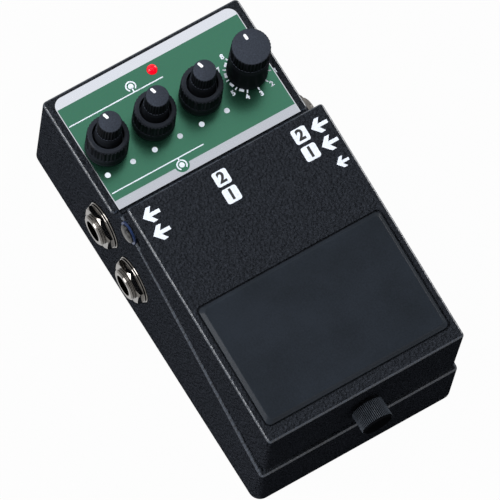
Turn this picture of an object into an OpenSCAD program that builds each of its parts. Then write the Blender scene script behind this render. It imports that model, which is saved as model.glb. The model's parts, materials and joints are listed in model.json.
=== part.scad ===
// Compact delay pedal: wedge-shaped chassis, hinged treadle, four-knob control panel.
// Millimetres. X to the right, Y to the rear, Z up. Z = 0 is the surface that the pedal stands on.

/* [Chassis] */
// Width across the bottom edge
body_w = 66.4; // [62:0.1:72]
// Depth along the bottom edge
body_d = 123.4; // [120:0.1:128]
// Height of the rear housing above the bottom edge
rear_h = 37.5; // [34:0.1:42]
// Height of the front wall above the bottom edge
front_h = 19.5; // [17:0.1:22]
// Slope of the bay's side rims, in degrees
rim_angle = 16.84; // [15:0.01:18]
// Depth of the rear housing
rear_d = 40.4; // [40:0.1:41.2]
// Run of the cheeks' sloping rear ends, down to the rear housing
horn_d = 3; // [2.6:0.1:3.4]
// Plan radius of the four outer corners at the bottom edge
corner_r = 3.4; // [2.8:0.1:4]
// Plan radius of the four outer corners at the top
corner_top_r = 1.4; // [1.2:0.1:2]
// Plan radius where the bay meets the rear housing
step_r = 2; // [1.8:0.1:2.6]
// Plan radius of the inner corners
in_r = 2; // [1.6:0.1:2.4]
// Draft of the outer walls, in degrees
draft = 1.1; // [0.6:0.1:1.3]
// Fillet along the upper edges
edge_r = 0.9; // [0.5:0.1:1.1]
// Thickness of the walls at the top
wall = 2.2; // [1.8:0.1:2.6]
// Thickness of the panel at the top of the rear housing
panel_t = 2.6; // [2.2:0.1:3.2]
// Drop from the rim to the deck of the bay
deck_drop = 6; // [5:0.1:7]
// Drop from the panel to the level part of the deck in front of it
deck_step = 1.5; // [1.3:0.1:2]
// Thickness of the deck
deck_t = 2; // [1.6:0.1:2.6]

/* [Base] */
// Thickness of the rubber sheet under the pedal
base_t = 1.5; // [1.2:0.1:2.5]
// Margin from the bottom plate's edge to the rubber sheet
base_margin = 2; // [1:0.1:4]
// Thickness of the bottom plate
bottom_t = 1.2; // [0.8:0.1:1.6]
// Gap between the bottom plate and the walls
bottom_gap = 0.15; // [0.05:0.05:0.4]
// Radius of the bosses that take the bottom screws
boss_r = 3.4; // [3:0.1:4]
// Height of the rear bosses above the bottom plate
boss_h = 20; // [14:0.5:22]
// Distance from the inner walls to a boss's axis
boss_in = 3; // [2.6:0.1:3.2]
// Shank radius of the bottom screws
screw_r = 1.4; // [1.2:0.1:1.6]
// Gap round the screw heads in the rubber sheet
screw_head_gap = 0.6; // [0.4:0.1:1]
// Length of a bottom screw's shank
screw_l = 8; // [6:0.5:10]
// Head radius of the bottom screws
screw_head_r = 2.6; // [2.3:0.1:2.8]
// Head height of the bottom screws
screw_head_h = 1.1; // [0.8:0.1:1.2]

/* [Control panel] */
// Distance from the widest edge of the chassis in to the printed plate's sides
plate_side = 3.2; // [2.8:0.1:4.2]
// Distance from the front of the rear housing to the plate
plate_front = 1; // [0.8:0.1:2]
// Thickness of the printed plate
plate_t = 0.8; // [0.5:0.1:1.2]
// Radius of the plate's rear corners
plate_r = 3; // [2:0.1:4]
// Distance from the rear of the housing to the plate
plate_in = 2; // [1.9:0.1:2.4]
// Gap round the plate in its recess
plate_gap = 0.15; // [0.05:0.05:0.2]
// Distance from the widest edge of the chassis in to the outermost knobs' axes
knob_side = 9.95; // [9.6:0.05:10.5]
// Distance from the rear of the housing to the knob row
knob_in = 21.2; // [20.6:0.1:21.6]
// Distance from the rear of the housing to the lamp
led_in = 7.6; // [7:0.1:8.5]
// Radius of the lamp's lens
led_r = 1.5; // [1.3:0.1:1.8]
// Height of the lamp above the panel
led_rise = 1.6; // [1.2:0.1:2.2]

/* [Knobs] */
// Gap between a knob and the panel
knob_gap = 0.3; // [0.2:0.05:0.5]
// Base radius of an outer knob
outer_r = 6.2; // [6:0.05:6.4]
// Rim radius of an outer knob
outer_top_r = 6.1; // [5.9:0.05:6.15]
// Height of an outer knob
outer_h = 9.4; // [9.2:0.1:9.8]
// Chamfer of the outer knobs' rims
rim_chamfer = 0.3; // [0.2:0.05:0.4]
// Radius of the cup in an outer knob
cup_r = 4.6; // [4.55:0.05:4.7]
// Depth of the cup in an outer knob
cup_d = 4.2; // [4:0.1:4.4]
// Gap between an inner knob and the floor of the cup
cup_gap = 0.4; // [0.3:0.05:0.6]
// Base radius of an inner knob
inner_r = 4.1; // [3.9:0.05:4.2]
// Top radius of an inner knob
inner_top_r = 3.4; // [3.3:0.05:3.6]
// Height of the inner knobs' tops above the panel
knob_top = 20; // [19:0.1:21]
// Height of the selector knob's top above the panel
mode_top = 18.8; // [18:0.1:19.5]
// Base radius of the selector knob
mode_r = 6; // [5.8:0.05:6.1]
// Top radius of the selector knob
mode_top_r = 5.65; // [5.4:0.05:5.75]
// Rise of a knob's domed top
dome_h = 1; // [0.8:0.1:1.2]
// Radius of the rounded edge of a domed top
dome_round = 0.35; // [0.25:0.05:0.4]
// Depth of the splines on the knobs
spline_d = 0.25; // [0.2:0.05:0.3]
// Length of the splines, down from a knob's upper edge to its smooth skirt
spline_l = 5.4; // [5:0.1:6]
// Splines round an outer knob
outer_splines = 36; // [30:1:44]
// Splines round an inner knob
inner_splines = 26; // [20:1:30]
// Length of a white pointer
pointer_l = 2; // [1.8:0.1:2.2]
// Width of a white pointer
pointer_w = 0.85; // [0.7:0.05:1]
// Depth that a pointer is let into its knob
pointer_d = 0.7; // [0.5:0.1:0.9]
// Rise of a pointer above the knob's dome
pointer_rise = 0.08; // [0.05:0.01:0.12]
// Place of a pointer's middle, as a share of the knob's top radius
pointer_share = 0.55; // [0.5:0.01:0.58]
// Turn of the inner knobs from the middle of their travel, in degrees
pointer_turn = 12; // [-150:1:150]

/* [Pots and selector] */
// Radius of the outer shaft
shaft_r = 2.5; // [2.3:0.05:2.6]
// Radius of the inner shaft
inner_shaft_r = 1.5; // [1.3:0.05:1.6]
// Depth of a shaft's grip in its inner or selector knob
grip_d = 9.5; // [8:0.1:10]
// Radial clearance of a turning shaft
run_gap = 0.05; // [0.03:0.01:0.08]
// Radius of a pot's threaded bush
pot_bush_r = 3.2; // [3:0.05:3.3]
// Rise of a pot's bush above the panel
pot_bush_rise = 2.5; // [2.2:0.1:2.8]
// Width of a pot nut across its flats
pot_nut_w = 7.8; // [7.4:0.1:8]
// Thickness of a pot nut
pot_nut_t = 1.8; // [1.5:0.1:2]
// Gap between a pot's nut and the pocket for it in the knob
nut_gap = 0.2; // [0.15:0.05:0.3]
// Side of a pot's square body
pot_w = 11; // [10:0.1:12]
// Height of a pot's body
pot_h = 8; // [7:0.1:9]
// Thickness of a pot's floor under its shafts
pot_floor = 1.5; // [1.2:0.1:2]
// Thickness of the circuit boards
board_t = 1.6; // [1.2:0.1:2]

/* [Jacks] */
// Distance from the front of the chassis to the rear jacks
jack_front_in = 86.3; // [86:0.1:86.8]
// Distance between neighbouring jacks
jack_pitch = 17; // [16.5:0.1:17.3]
// Height of the rear jacks above the bottom edge
jack_h = 23.8; // [23:0.1:24.5]
// Step down from one jack to the next, along the sloping bay
jack_step = 4.5; // [4:0.1:4.6]
// Radius of the plug bore
plug_r = 3.25; // [3.2:0.01:3.3]
// Outside radius of the threaded bush
jack_bush_r = 4.7; // [4.5:0.1:5]
// Distance from the widest edge of the chassis out to the end of a bush
jack_proud = 3.3; // [3:0.1:3.8]
// Depth that a bush is set into its jack body
jack_seat = 6; // [5:0.1:7]
// Distance from the widest edge of the chassis in to the washers' flat seats
jack_face_in = 0.8; // [0.7:0.05:0.9]
// Radius of a washer
washer_r = 7.3; // [7:0.1:7.6]
// Thickness of a washer
washer_t = 0.6; // [0.5:0.1:0.8]
// Margin of a flat seat round its washer or flange
seat_margin = 0.3; // [0.2:0.05:0.4]
// Width of a jack nut across its flats
jack_nut_w = 12; // [11.5:0.1:12.6]
// Thickness of a jack nut, flange included
jack_nut_t = 2.2; // [2:0.1:2.4]
// Radius of a jack nut's flange
nut_flange_r = 7; // [6.9:0.1:7.2]
// Thickness of a jack nut's flange
nut_flange_t = 0.6; // [0.5:0.1:0.7]
// Chamfer round the washers and the nuts' flanges
flange_chamfer = 0.15; // [0.1:0.05:0.2]
// Chamfer of the jack nuts' corners and the bushes' ends
jack_chamfer = 0.4; // [0.3:0.05:0.5]
// Width of a jack body
jack_body_w = 13; // [12:0.1:13.4]
// Height of a jack body
jack_body_h = 11; // [10.4:0.1:11.4]
// Length of a jack body
jack_body_l = 20; // [19:0.1:20.5]
// Thickness of a jack body's closed end
jack_end_t = 2; // [1.5:0.1:2.5]
// Gap round a plug in the contact chamber
chamber_gap = 0.2; // [0.1:0.05:0.4]
// Radial gap of fixed parts in their holes
fit_gap = 0.1; // [0.05:0.01:0.2]

/* [Power inlet] */
// Width of the inlet's body
dc_w = 9; // [8:0.1:10]
// Height of the inlet's body
dc_h = 11; // [10.4:0.1:12]
// Length of the inlet's body
dc_l = 14; // [12:0.1:15]
// Radius of the inlet's nose in the rear wall
dc_nose_r = 4.4; // [4:0.1:4.5]
// Radius of the socket
dc_socket_r = 2.9; // [2.8:0.05:3.1]
// Radius of the pin in the socket
dc_pin_r = 1; // [0.9:0.05:1.1]
// Depth of the socket
dc_socket_d = 9; // [8:0.1:10]

/* [Treadle] */
// Distance from the widest edge of the chassis in to the treadle's top edges
treadle_side = 1; // [0.8:0.1:1.6]
// Height of the front top edge above the bottom edge of the chassis
treadle_front_h = 46.85; // [45.5:0.1:48]
// Slope of the treadle's top, in degrees
treadle_angle = 5.3; // [4.6:0.1:6]
// Distance from the front of the chassis to the treadle's front
treadle_in = 0.7; // [0.6:0.1:1]
// Distance from the cheeks' rear ends forward to the treadle's rear edge
treadle_back = 1.4; // [1.1:0.1:2]
// Plan radius of the treadle's corners at the foot of the skirt
treadle_r = 3; // [2.4:0.1:3.4]
// Plan radius of the treadle's corners at the top
treadle_top_r = 1.1; // [1.05:0.05:1.6]
// Draft of the treadle's skirt, in degrees
treadle_draft = 0.3; // [0.2:0.1:0.5]
// Thickness of the treadle's top
treadle_t = 3; // [2.6:0.1:3.4]
// Thickness of the treadle's skirt
skirt_t = 2; // [1.6:0.1:2.2]
// Gap between the skirt and the rim at the front
skirt_gap = 4.4; // [4:0.1:4.8]
// Gap between the skirt and the rim at the rear
skirt_gap_rear = 0.5; // [0.45:0.05:0.8]
// Distance from the treadle's side edges to the pad
pad_side = 2.4; // [2.2:0.1:3.6]
// Depth of the pad
pad_d = 38.6; // [36:0.1:40]
// Distance from the treadle's front edge to the pad
pad_in = 4.6; // [4.2:0.1:5.5]
// Depth of the pad's recess
pad_sink = 0.9; // [0.7:0.1:1.2]
// Rise of the pad above the treadle
pad_rise = 1.1; // [0.8:0.1:1.4]
// Plan radius of the pad's corners
pad_r = 1.6; // [1.4:0.1:2]
// Width of the bevel round the pad
pad_bevel = 1.3; // [1:0.1:1.6]
// Groove round the pad
pad_groove = 0.5; // [0.3:0.05:0.7]
// Thickness of a stiffening rib under the treadle
rib_t = 1.6; // [1.2:0.1:2.2]
// Depth of a stiffening rib under the treadle
rib_d = 4; // [3:0.1:5]

/* [Pivot] */
// Distance from the rear end of the cheeks to the pivot
pivot_in = 4.7; // [4.4:0.1:5]
// Radius of a pivot pin
pin_r = 1.5; // [1.3:0.05:1.7]
// Radius of a pin's domed head
pin_head_r = 2.9; // [2.8:0.05:3.1]
// Height of a pin's head
pin_head_h = 1.2; // [1:0.1:1.5]
// Wall of the nylon pivot bush
bush_wall = 0.9; // [0.7:0.05:1]
// Radius of the bush's flange
bush_flange_r = 3.6; // [3.5:0.05:3.8]
// Thickness of the bush's flange
bush_flange_t = 0.5; // [0.4:0.05:0.7]
// Distance from the widest edge of the chassis in to the bush's flat seat
pivot_face_in = 1.05; // [1:0.05:1.15]
// Radius of the treadle's pivot lugs
lug_r = 4.6; // [4.2:0.1:4.8]
// Width of a pivot lug
lug_w = 3.2; // [2.6:0.1:3.6]
// Side gap between a lug and its cheek
lug_gap = 0.4; // [0.35:0.05:0.5]
// Radius of the skirt's cut-out round the pivot
notch_r = 6; // [5.9:0.05:6.2]

/* [Thumbscrew] */
// Drop from the spring's upper end to the thumbscrew's axis
thumb_drop = 2.99; // [2.8:0.01:3.2]
// Radius of the knurled head
thumb_r = 4.9; // [4.5:0.1:5.2]
// Length of the knurled head
thumb_l = 6.2; // [5.5:0.1:7]
// Ridges round the head
thumb_ridges = 54; // [44:1:60]
// Length of the collar between head and skirt
collar_l = 1.2; // [1:0.1:1.6]
// Radius of the collar
collar_r = 3.2; // [2.8:0.1:3.6]
// Radius of the threaded shank
shank_r = 2; // [1.8:0.05:2.2]
// Radius of the plain tip
tip_r = 1.5; // [1.3:0.05:1.6]
// Width of the slot in the guide bush
guide_slot = 3.6; // [3.5:0.05:3.8]
// Wall of the guide bush
guide_wall = 1.2; // [1:0.05:1.4]
// Thickness of the guide post
guide_t = 2.4; // [2:0.1:2.6]
// Width of the guide post
guide_w = 12; // [11:0.1:14]
// Travel of the thumbscrew's tip below its rest, kept free in the guide
guide_travel = 2.6; // [2.5:0.1:3.2]
// Length of the tip past the guide
tip_past = 0.6; // [0.4:0.1:1]
// Gap between the treadle's skirt and the guide post
guide_gap = 1.4; // [1.2:0.05:1.5]

/* [Foot switch and spring] */
// Distance from the front of the chassis to the switch
switch_front_in = 53.7; // [53.2:0.1:54.2]
// Side of the switch's body
switch_w = 12; // [11:0.1:12.6]
// Margin of the casting's boss round the switch
switch_margin = 0.5; // [0.4:0.1:0.8]
// Drop from the deck's underside to the switch's seat
switch_drop = 0.6; // [0.4:0.1:1]
// Height of the switch's body
switch_h = 9; // [8:0.1:10]
// Distance from the switch's foot up to the plunger
plunger_foot = 2.5; // [2.3:0.1:3]
// Radius of the plunger
plunger_r = 2.4; // [2.2:0.05:2.6]
// Rise of the plunger above the deck
plunger_rise = 6.5; // [6:0.1:7.5]
// Gap between the plunger and the presser
press_gap = 0.3; // [0.25:0.05:0.4]
// Radius of the presser
presser_r = 3.2; // [3:0.1:3.6]
// Height of the presser
presser_h = 3; // [2.5:0.1:4]
// Distance from the front of the chassis to the coil spring
spring_front_in = 11.2; // [11:0.1:11.5]
// Outside radius of the coil spring
spring_r = 4.2; // [4:0.05:4.4]
// Wire radius of the coil spring
wire_r = 0.55; // [0.45:0.05:0.65]
// Turns of the coil spring
spring_turns = 7; // [6:1:8]
// Length of the coil spring at rest
spring_l = 20; // [19:0.1:21]
// Rise of the flat spring seat above the deck
seat_rise = 1.9; // [1.7:0.1:2.4]
// Radius of the seat's locating stud
stud_r = 1.5; // [1.2:0.1:1.7]
// Height of the locating stud
stud_h = 2; // [1.5:0.1:2.2]
// Radius of the spring base's flange
base_flange_r = 5; // [4.8:0.1:5.2]
// Thickness of the spring base's flange
base_flange_t = 2; // [1.6:0.1:2.6]
// Radius of the spring base's spigot
spigot_r = 2.3; // [2.1:0.05:2.4]
// Length of the spring base's spigot
spigot_l = 3; // [2.5:0.1:3.4]

/* [Battery] */
// Length of the battery, across the pedal
battery_w = 48.5; // [46:0.1:49]
// Depth of the battery
battery_d = 26.5; // [25:0.1:26.8]
// Height of the battery
battery_h = 17.5; // [16:0.1:18]
// Gap round the battery
battery_gap = 0.25; // [0.15:0.05:0.3]
// Wall of the battery pocket
pocket_wall = 1.2; // [1:0.05:1.3]
// Floor of the battery pocket
pocket_floor = 1.5; // [1.2:0.1:2]
// Gap between the pocket and the bottom plate
pocket_gap = 0.3; // [0.2:0.05:0.5]
// Length of the battery's terminals
terminal_l = 3; // [2.5:0.1:3.5]
// Distance from the front of the chassis to the middle of the battery
battery_front_in = 29.8; // [29.6:0.1:29.9]

/* [Boards] */
// Height of the main board above the bottom plate
board_rise = 4.3; // [4:0.1:4.6]
// Gap between the battery pocket and the main board
board_front_gap = 3.4; // [3:0.1:4.5]
// Gap between the boards and the walls
board_gap = 0.6; // [0.4:0.1:0.8]
// Margin of the control board in front of the pots
control_margin = 0.3; // [0.2:0.1:0.8]
// Radius of a board post
post_r = 2.6; // [2.4:0.1:3]
// Height of the board posts along the walls
post_h = 12; // [8:0.5:14]
// Distance from the rear of the housing to the rear board posts
post_in = 17.7; // [17:0.1:18.4]
// Shank radius of a board screw
board_screw_r = 1; // [0.9:0.1:1.2]
// Head height of a board screw
board_head_h = 1.2; // [0.9:0.1:1.4]
// Length of a board screw's shank
board_screw_l = 6; // [5:0.5:7]

/* [Hidden] */
$fn = 48;
eps = 0.01;
big = 300;

// Chassis: outer planes and inner walls
front_y = -body_d / 2;
rear_y = body_d / 2;
top_draft = tan(draft) * rear_h;
in_x = body_w / 2 - top_draft - wall;
in_front_y = front_y + top_draft + wall;
in_rear_y = rear_y - top_draft - wall;
panel_z = base_t + rear_h;
ceiling_z = panel_z - panel_t;
rear_block_y = rear_y - rear_d;
cheek_y = rear_block_y - horn_d;
rim_tan = tan(rim_angle);
function rim_z(y) = base_t + front_h + (y - front_y) * rim_tan;
deck_level_z = panel_z - deck_step;
deck_knee_y = min(front_y + (deck_level_z + deck_drop - base_t - front_h) / rim_tan, rear_block_y - 1);
function deck_z(y) = min(rim_z(y) - deck_drop, deck_level_z);
function deck_under_z(y) = deck_z(y) - deck_t;

// Pivot, treadle and what hangs from it
pivot_y = cheek_y - pivot_in;
pivot_z = rim_z(pivot_y);
treadle_y = front_y + treadle_in;
treadle_rear_y = cheek_y - treadle_back;
treadle_w = body_w - 2 * treadle_side;
pad_w = treadle_w - 2 * pad_side;
treadle_tan = tan(treadle_angle);
function treadle_z(y) = base_t + treadle_front_h + (y - treadle_y) * treadle_tan;
function treadle_under_z(y) = treadle_z(y) - treadle_t;
skirt_front_z = rim_z(treadle_y) + skirt_gap;
skirt_rear_z = rim_z(treadle_rear_y) + skirt_gap_rear;
treadle_in_x = treadle_w / 2 - skirt_t;
lug_x = in_x - lug_gap - lug_w;
pivot_face_x = body_w / 2 - pivot_face_in;
bush_r = pin_r + run_gap + bush_wall;
ear_r = bush_flange_r - 0.2;

// Foot switch and spring
switch_y = front_y + switch_front_in;
switch_boss_r = switch_w / 2 + switch_margin;
switch_top_z = deck_under_z(switch_y - switch_boss_r) - switch_drop;
plunger_top_z = deck_z(switch_y) + plunger_rise;
plunger_low_z = switch_top_z - switch_h + plunger_foot;
presser_low_z = plunger_top_z + press_gap;
spring_y = front_y + spring_front_in;
seat_z = deck_z(spring_y) + seat_rise;
spring_top_z = seat_z + spring_l;
coil_r = spring_r - wire_r;

// Thumbscrew and its guide
thumb_z = spring_top_z - thumb_drop;
thumb_head_y = treadle_y - collar_l;
guide_y = treadle_y + skirt_t + guide_gap;
guide_top_z = thumb_z + guide_slot / 2 + guide_wall;
guide_low_z = thumb_z - guide_travel - guide_slot / 2;
tip_y = guide_y + guide_t + tip_past;

// Battery pocket
battery_y = front_y + battery_front_in;
bottom_top_z = base_t + bottom_t;
pocket_low_z = bottom_top_z + pocket_gap;
battery_z = pocket_low_z + pocket_floor;
pocket_w = battery_w + 2 * battery_gap;
pocket_d = battery_d + 2 * battery_gap;

// Boards and their posts
board_z = bottom_top_z + board_rise;
board_top_z = board_z + board_t;
board_rear_y = in_rear_y - board_gap;
board_front_y = battery_y + pocket_d / 2 + pocket_wall + board_front_gap;
post_x = in_x - post_r + 0.6;
POSTS = [[0, jack_y(1)], [-post_x, jack_y(2)], [post_x, rear_y - post_in], [-post_x, rear_y - post_in]];
boss_x = in_x - boss_in;
BOSSES = [for (sx = [-1, 1], y = [in_front_y + boss_in, in_rear_y - boss_in]) [sx * boss_x, y]];

// Control panel
plate_rear_y = rear_y - plate_in;
plate_y = rear_block_y + plate_front;
plate_w = body_w - 2 * plate_side;
knob_y = rear_y - knob_in;
mode_x = body_w / 2 - knob_side;
knob_pitch = mode_x / 1.5;
led_y = rear_y - led_in;
dual_x = [for (i = [0:2]) (i - 1.5) * knob_pitch];
POTS = [for (i = [0:3]) (i - 1.5) * knob_pitch];
pot_z = ceiling_z - pot_h;
shaft_low_z = pot_z + pot_floor;
knob_z = panel_z + knob_gap;
knob_top_z = panel_z + knob_top;
mode_top_z = panel_z + mode_top;
cup_z = knob_z + outer_h - cup_d;
nut_pocket_h = pot_bush_rise - knob_gap + 2 * nut_gap;
pot_hole_r = pot_bush_r + fit_gap;
nut_pocket_r = pot_nut_w / 2 / cos(30) + nut_gap;
control_board_rear_y = in_rear_y - board_gap;
control_board_d = control_board_rear_y - knob_y + pot_w / 2 + control_margin;

// Jacks: side is -1 on the left and 1 on the right, n counts from the rear
jack_face_x = body_w / 2 - jack_face_in;
jack_low_x = in_x - jack_seat;
jack_reach = body_w / 2 + jack_proud;
JACKS = [[-1, 0], [-1, 1], [1, 0], [1, 1], [1, 2]];
function jack_y(n) = front_y + jack_front_in - n * jack_pitch;
function jack_z(n) = base_t + jack_h - n * jack_step;

// Power inlet, standing on the main board
dc_z = board_top_z + dc_h / 2;

// A drafted corner post with a filleted top, the building block of the outer shells
module post(x, y, z0, z1, r) {
    r1 = r - tan(draft) * (z1 - z0);
    f = min(edge_r, r1 - 0.1);
    translate([x, y, 0])
        rotate_extrude($fn = 32)
            polygon(concat(
                [[0, z0], [r, z0]],
                [for (a = [0:22.5:90]) [r1 - f + f * cos(a), z1 - f + f * sin(a)]],
                [[0, z1]]
            ));
}

// A corner of an outer shell, from a sharp-edged foot of radius r to a filleted top of radius r_top
module corner_post(foot, top, z0, z1, r, r_top) {
    f = min(edge_r, r_top - 0.1);
    translate([foot[0], foot[1], z0])
        cylinder(eps, r = r, $fn = 32);
    translate([top[0], top[1], 0])
        rotate_extrude($fn = 32)
            polygon(concat(
                [[0, z1 - f]],
                [for (a = [0:22.5:90]) [r_top - f + f * cos(a), z1 - f + f * sin(a)]],
                [[0, z1]]
            ));
}

// Top height of a post whose fillet touches a plane that slopes up to the rear
function post_top(plane_z, angle, r) = plane_z - (r - edge_r) * tan(angle) - edge_r * (1 / cos(angle) - 1);

// A solid with a side outline of (y, z) points, w wide across the pedal
module side_profile(points, w) {
    rotate([90, 0, 90])
        linear_extrude(w, center = true)
            polygon(points);
}

// A rectangle with rounded corners, from (x0, y0) to (x1, y1)
module rounded_rect(x0, y0, x1, y1, r) {
    translate([x0 + r, y0])
        square([x1 - x0 - 2 * r, y1 - y0]);
    translate([x0, y0 + r])
        square([x1 - x0, y1 - y0 - 2 * r]);
    for (x = [x0 + r, x1 - r], y = [y0 + r, y1 - r])
        translate([x, y])
            circle(r);
}

// A hexagon given across its flats
module hexagon(across) {
    circle(across / 2 / cos(30), $fn = 6);
}

// A star-shaped outline with n fine teeth
module splined(r, n, depth) {
    polygon([for (i = [0:2 * n - 1]) (i % 2 == 0 ? r : r - depth) * [cos(i * 180 / n), sin(i * 180 / n)]]);
}

// A tapered body standing on z, splined in its upper part and smooth below
module splined_body(z, h, r, r_top, n) {
    smooth_h = h - spline_l;
    waist_r = r + (r_top - r) * smooth_h / h;
    translate([0, 0, z]) {
        cylinder(smooth_h + eps, r1 = r, r2 = waist_r);
        translate([0, 0, smooth_h])
            linear_extrude(spline_l, scale = r_top / waist_r)
                splined(waist_r, n, spline_d);
    }
}

// Height of a domed top above its base, at distance d from the axis of a knob of top radius r
function dome_z(d, r) = dome_h - (dome_h - dome_round) * pow(d / (r - dome_round), 2);

// A shallow dome with a rounded edge that closes a knob's top
module knob_dome(z, r) {
    cap_r = r - dome_round;
    translate([0, 0, z - dome_h])
        rotate_extrude()
            polygon(concat(
                [[0, -0.3], [r, -0.3]],
                [for (a = [0:30:60]) [cap_r + dome_round * cos(a), dome_round * sin(a)]],
                [for (k = [6:-1:0]) [cap_r * k / 6, dome_z(cap_r * k / 6, r)]]
            ));
}

// The white bar let into a knob's dome near its rear edge, or with a fit the pocket for it
module pointer_bar(z, r, fit) {
    w = pointer_w + 2 * fit;
    mid = (pointer_l - pointer_w) / 2;
    y = pointer_share * r;
    tilt = atan(2 * (dome_h - dome_round) * y / pow(r - dome_round, 2));
    translate([0, y, z - dome_h + dome_z(y, r)])
        rotate([-tilt, 0, 0])
            translate([0, 0, -pointer_d - fit])
                linear_extrude(pointer_d + fit + (fit > 0 ? dome_h : pointer_rise)) {
                    translate([-w / 2, -mid])
                        square([w, 2 * mid]);
                    for (side = [-1, 1])
                        translate([0, side * mid])
                            circle(w / 2);
                }
}

// Places its children with +Z along a jack's axis, pointing out of the pedal
module at_jack(side, n) {
    translate([0, jack_y(n), jack_z(n)])
        rotate([0, side * 90, 0])
            children();
}

// Places its children with +Z along the pivot, pointing out of the pedal
module at_pivot(side) {
    translate([0, pivot_y, pivot_z])
        rotate([0, side * 90, 0])
            children();
}

// Places its children on the treadle's top, with Y up its slope from the front edge
module on_treadle() {
    translate([0, treadle_y, treadle_z(treadle_y)])
        rotate([treadle_angle, 0, 0])
            children();
}

// Places its children with +Z along the thumbscrew, pointing to the front
module at_thumb() {
    translate([0, 0, thumb_z])
        rotate([90, 0, 0])
            children();
}

// Outer shell of the sloping front bay
module bay_shell() {
    front_in = tan(draft) * front_h + corner_top_r;
    front_c = front_y + front_in;
    step_top_r = step_r - tan(draft) * (rim_z(rear_block_y) - base_t);
    rear_c = rear_block_y + step_r;
    difference() {
        hull()
            for (sx = [-1, 1]) {
                corner_post([sx * (body_w / 2 - corner_r), front_y + corner_r],
                    [sx * (body_w / 2 - front_in), front_c], base_t,
                    post_top(rim_z(front_c), rim_angle, corner_top_r), corner_r, corner_top_r);
                post(sx * (body_w / 2 - step_r), rear_c, base_t,
                    post_top(rim_z(rear_c), rim_angle, max(step_top_r, edge_r)), step_r);
            }
        // Sloping rear ends of the cheeks
        side_profile([
            [cheek_y, big], [cheek_y, rim_z(cheek_y)], [rear_block_y, panel_z - edge_r],
            [rear_y, panel_z - edge_r], [rear_y, big]
        ], big);
    }
}

// Outer shell of the level rear housing
module rear_shell() {
    rear_in = top_draft + corner_top_r;
    hull()
        for (sx = [-1, 1]) {
            corner_post([sx * (body_w / 2 - corner_r), rear_y - corner_r],
                [sx * (body_w / 2 - rear_in), rear_y - rear_in], base_t, panel_z, corner_r, corner_top_r);
            post(sx * (body_w / 2 - step_r), rear_block_y + step_r, base_t, panel_z, step_r);
        }
}

// Space above the deck, between the cheeks
module bay_space() {
    intersection() {
        side_profile([
            [in_front_y, deck_z(in_front_y)], [deck_knee_y, deck_z(deck_knee_y)],
            [rear_block_y, deck_z(rear_block_y)], [rear_block_y, big], [in_front_y, big]
        ], 2 * in_x);
        linear_extrude(big)
            rounded_rect(-in_x, in_front_y, in_x, rear_y, in_r);
    }
}

// Space under the deck and the panel, open at the bottom
module inner_space() {
    intersection() {
        side_profile([
            [in_front_y, 0], [in_rear_y, 0], [in_rear_y, ceiling_z],
            [rear_block_y + wall, ceiling_z], [rear_block_y + wall, deck_under_z(rear_block_y)],
            [deck_knee_y, deck_under_z(deck_knee_y)], [in_front_y, deck_under_z(in_front_y)]
        ], 2 * in_x);
        linear_extrude(big)
            rounded_rect(-in_x, in_front_y, in_x, in_rear_y, in_r);
    }
}

// Solid of the battery pocket, hanging from the deck
module pocket_block() {
    w = pocket_w + 2 * pocket_wall;
    d = pocket_d + 2 * pocket_wall;
    y0 = battery_y - d / 2;
    y1 = battery_y + d / 2;
    side_profile([
        [y0, pocket_low_z], [y1, pocket_low_z],
        [y1, deck_z(y1)], [y0, deck_z(y0)]
    ], w);
}

// Post behind the front wall that holds the guide bush
module guide_post() {
    translate([-guide_w / 2, guide_y, deck_under_z(guide_y)])
        cube([guide_w, guide_t, guide_top_z - deck_under_z(guide_y)]);
}

// The guide's slot, grown by a margin, open at its top
module guide_slot_cut(margin) {
    w = guide_slot + 2 * margin;
    low = guide_low_z + guide_slot / 2;
    translate([0, guide_y - eps, low])
        rotate([-90, 0, 0])
            cylinder(guide_t + 2 * eps, r = w / 2);
    translate([-w / 2, guide_y - eps, low])
        cube([w, guide_t + 2 * eps, big]);
}

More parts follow.
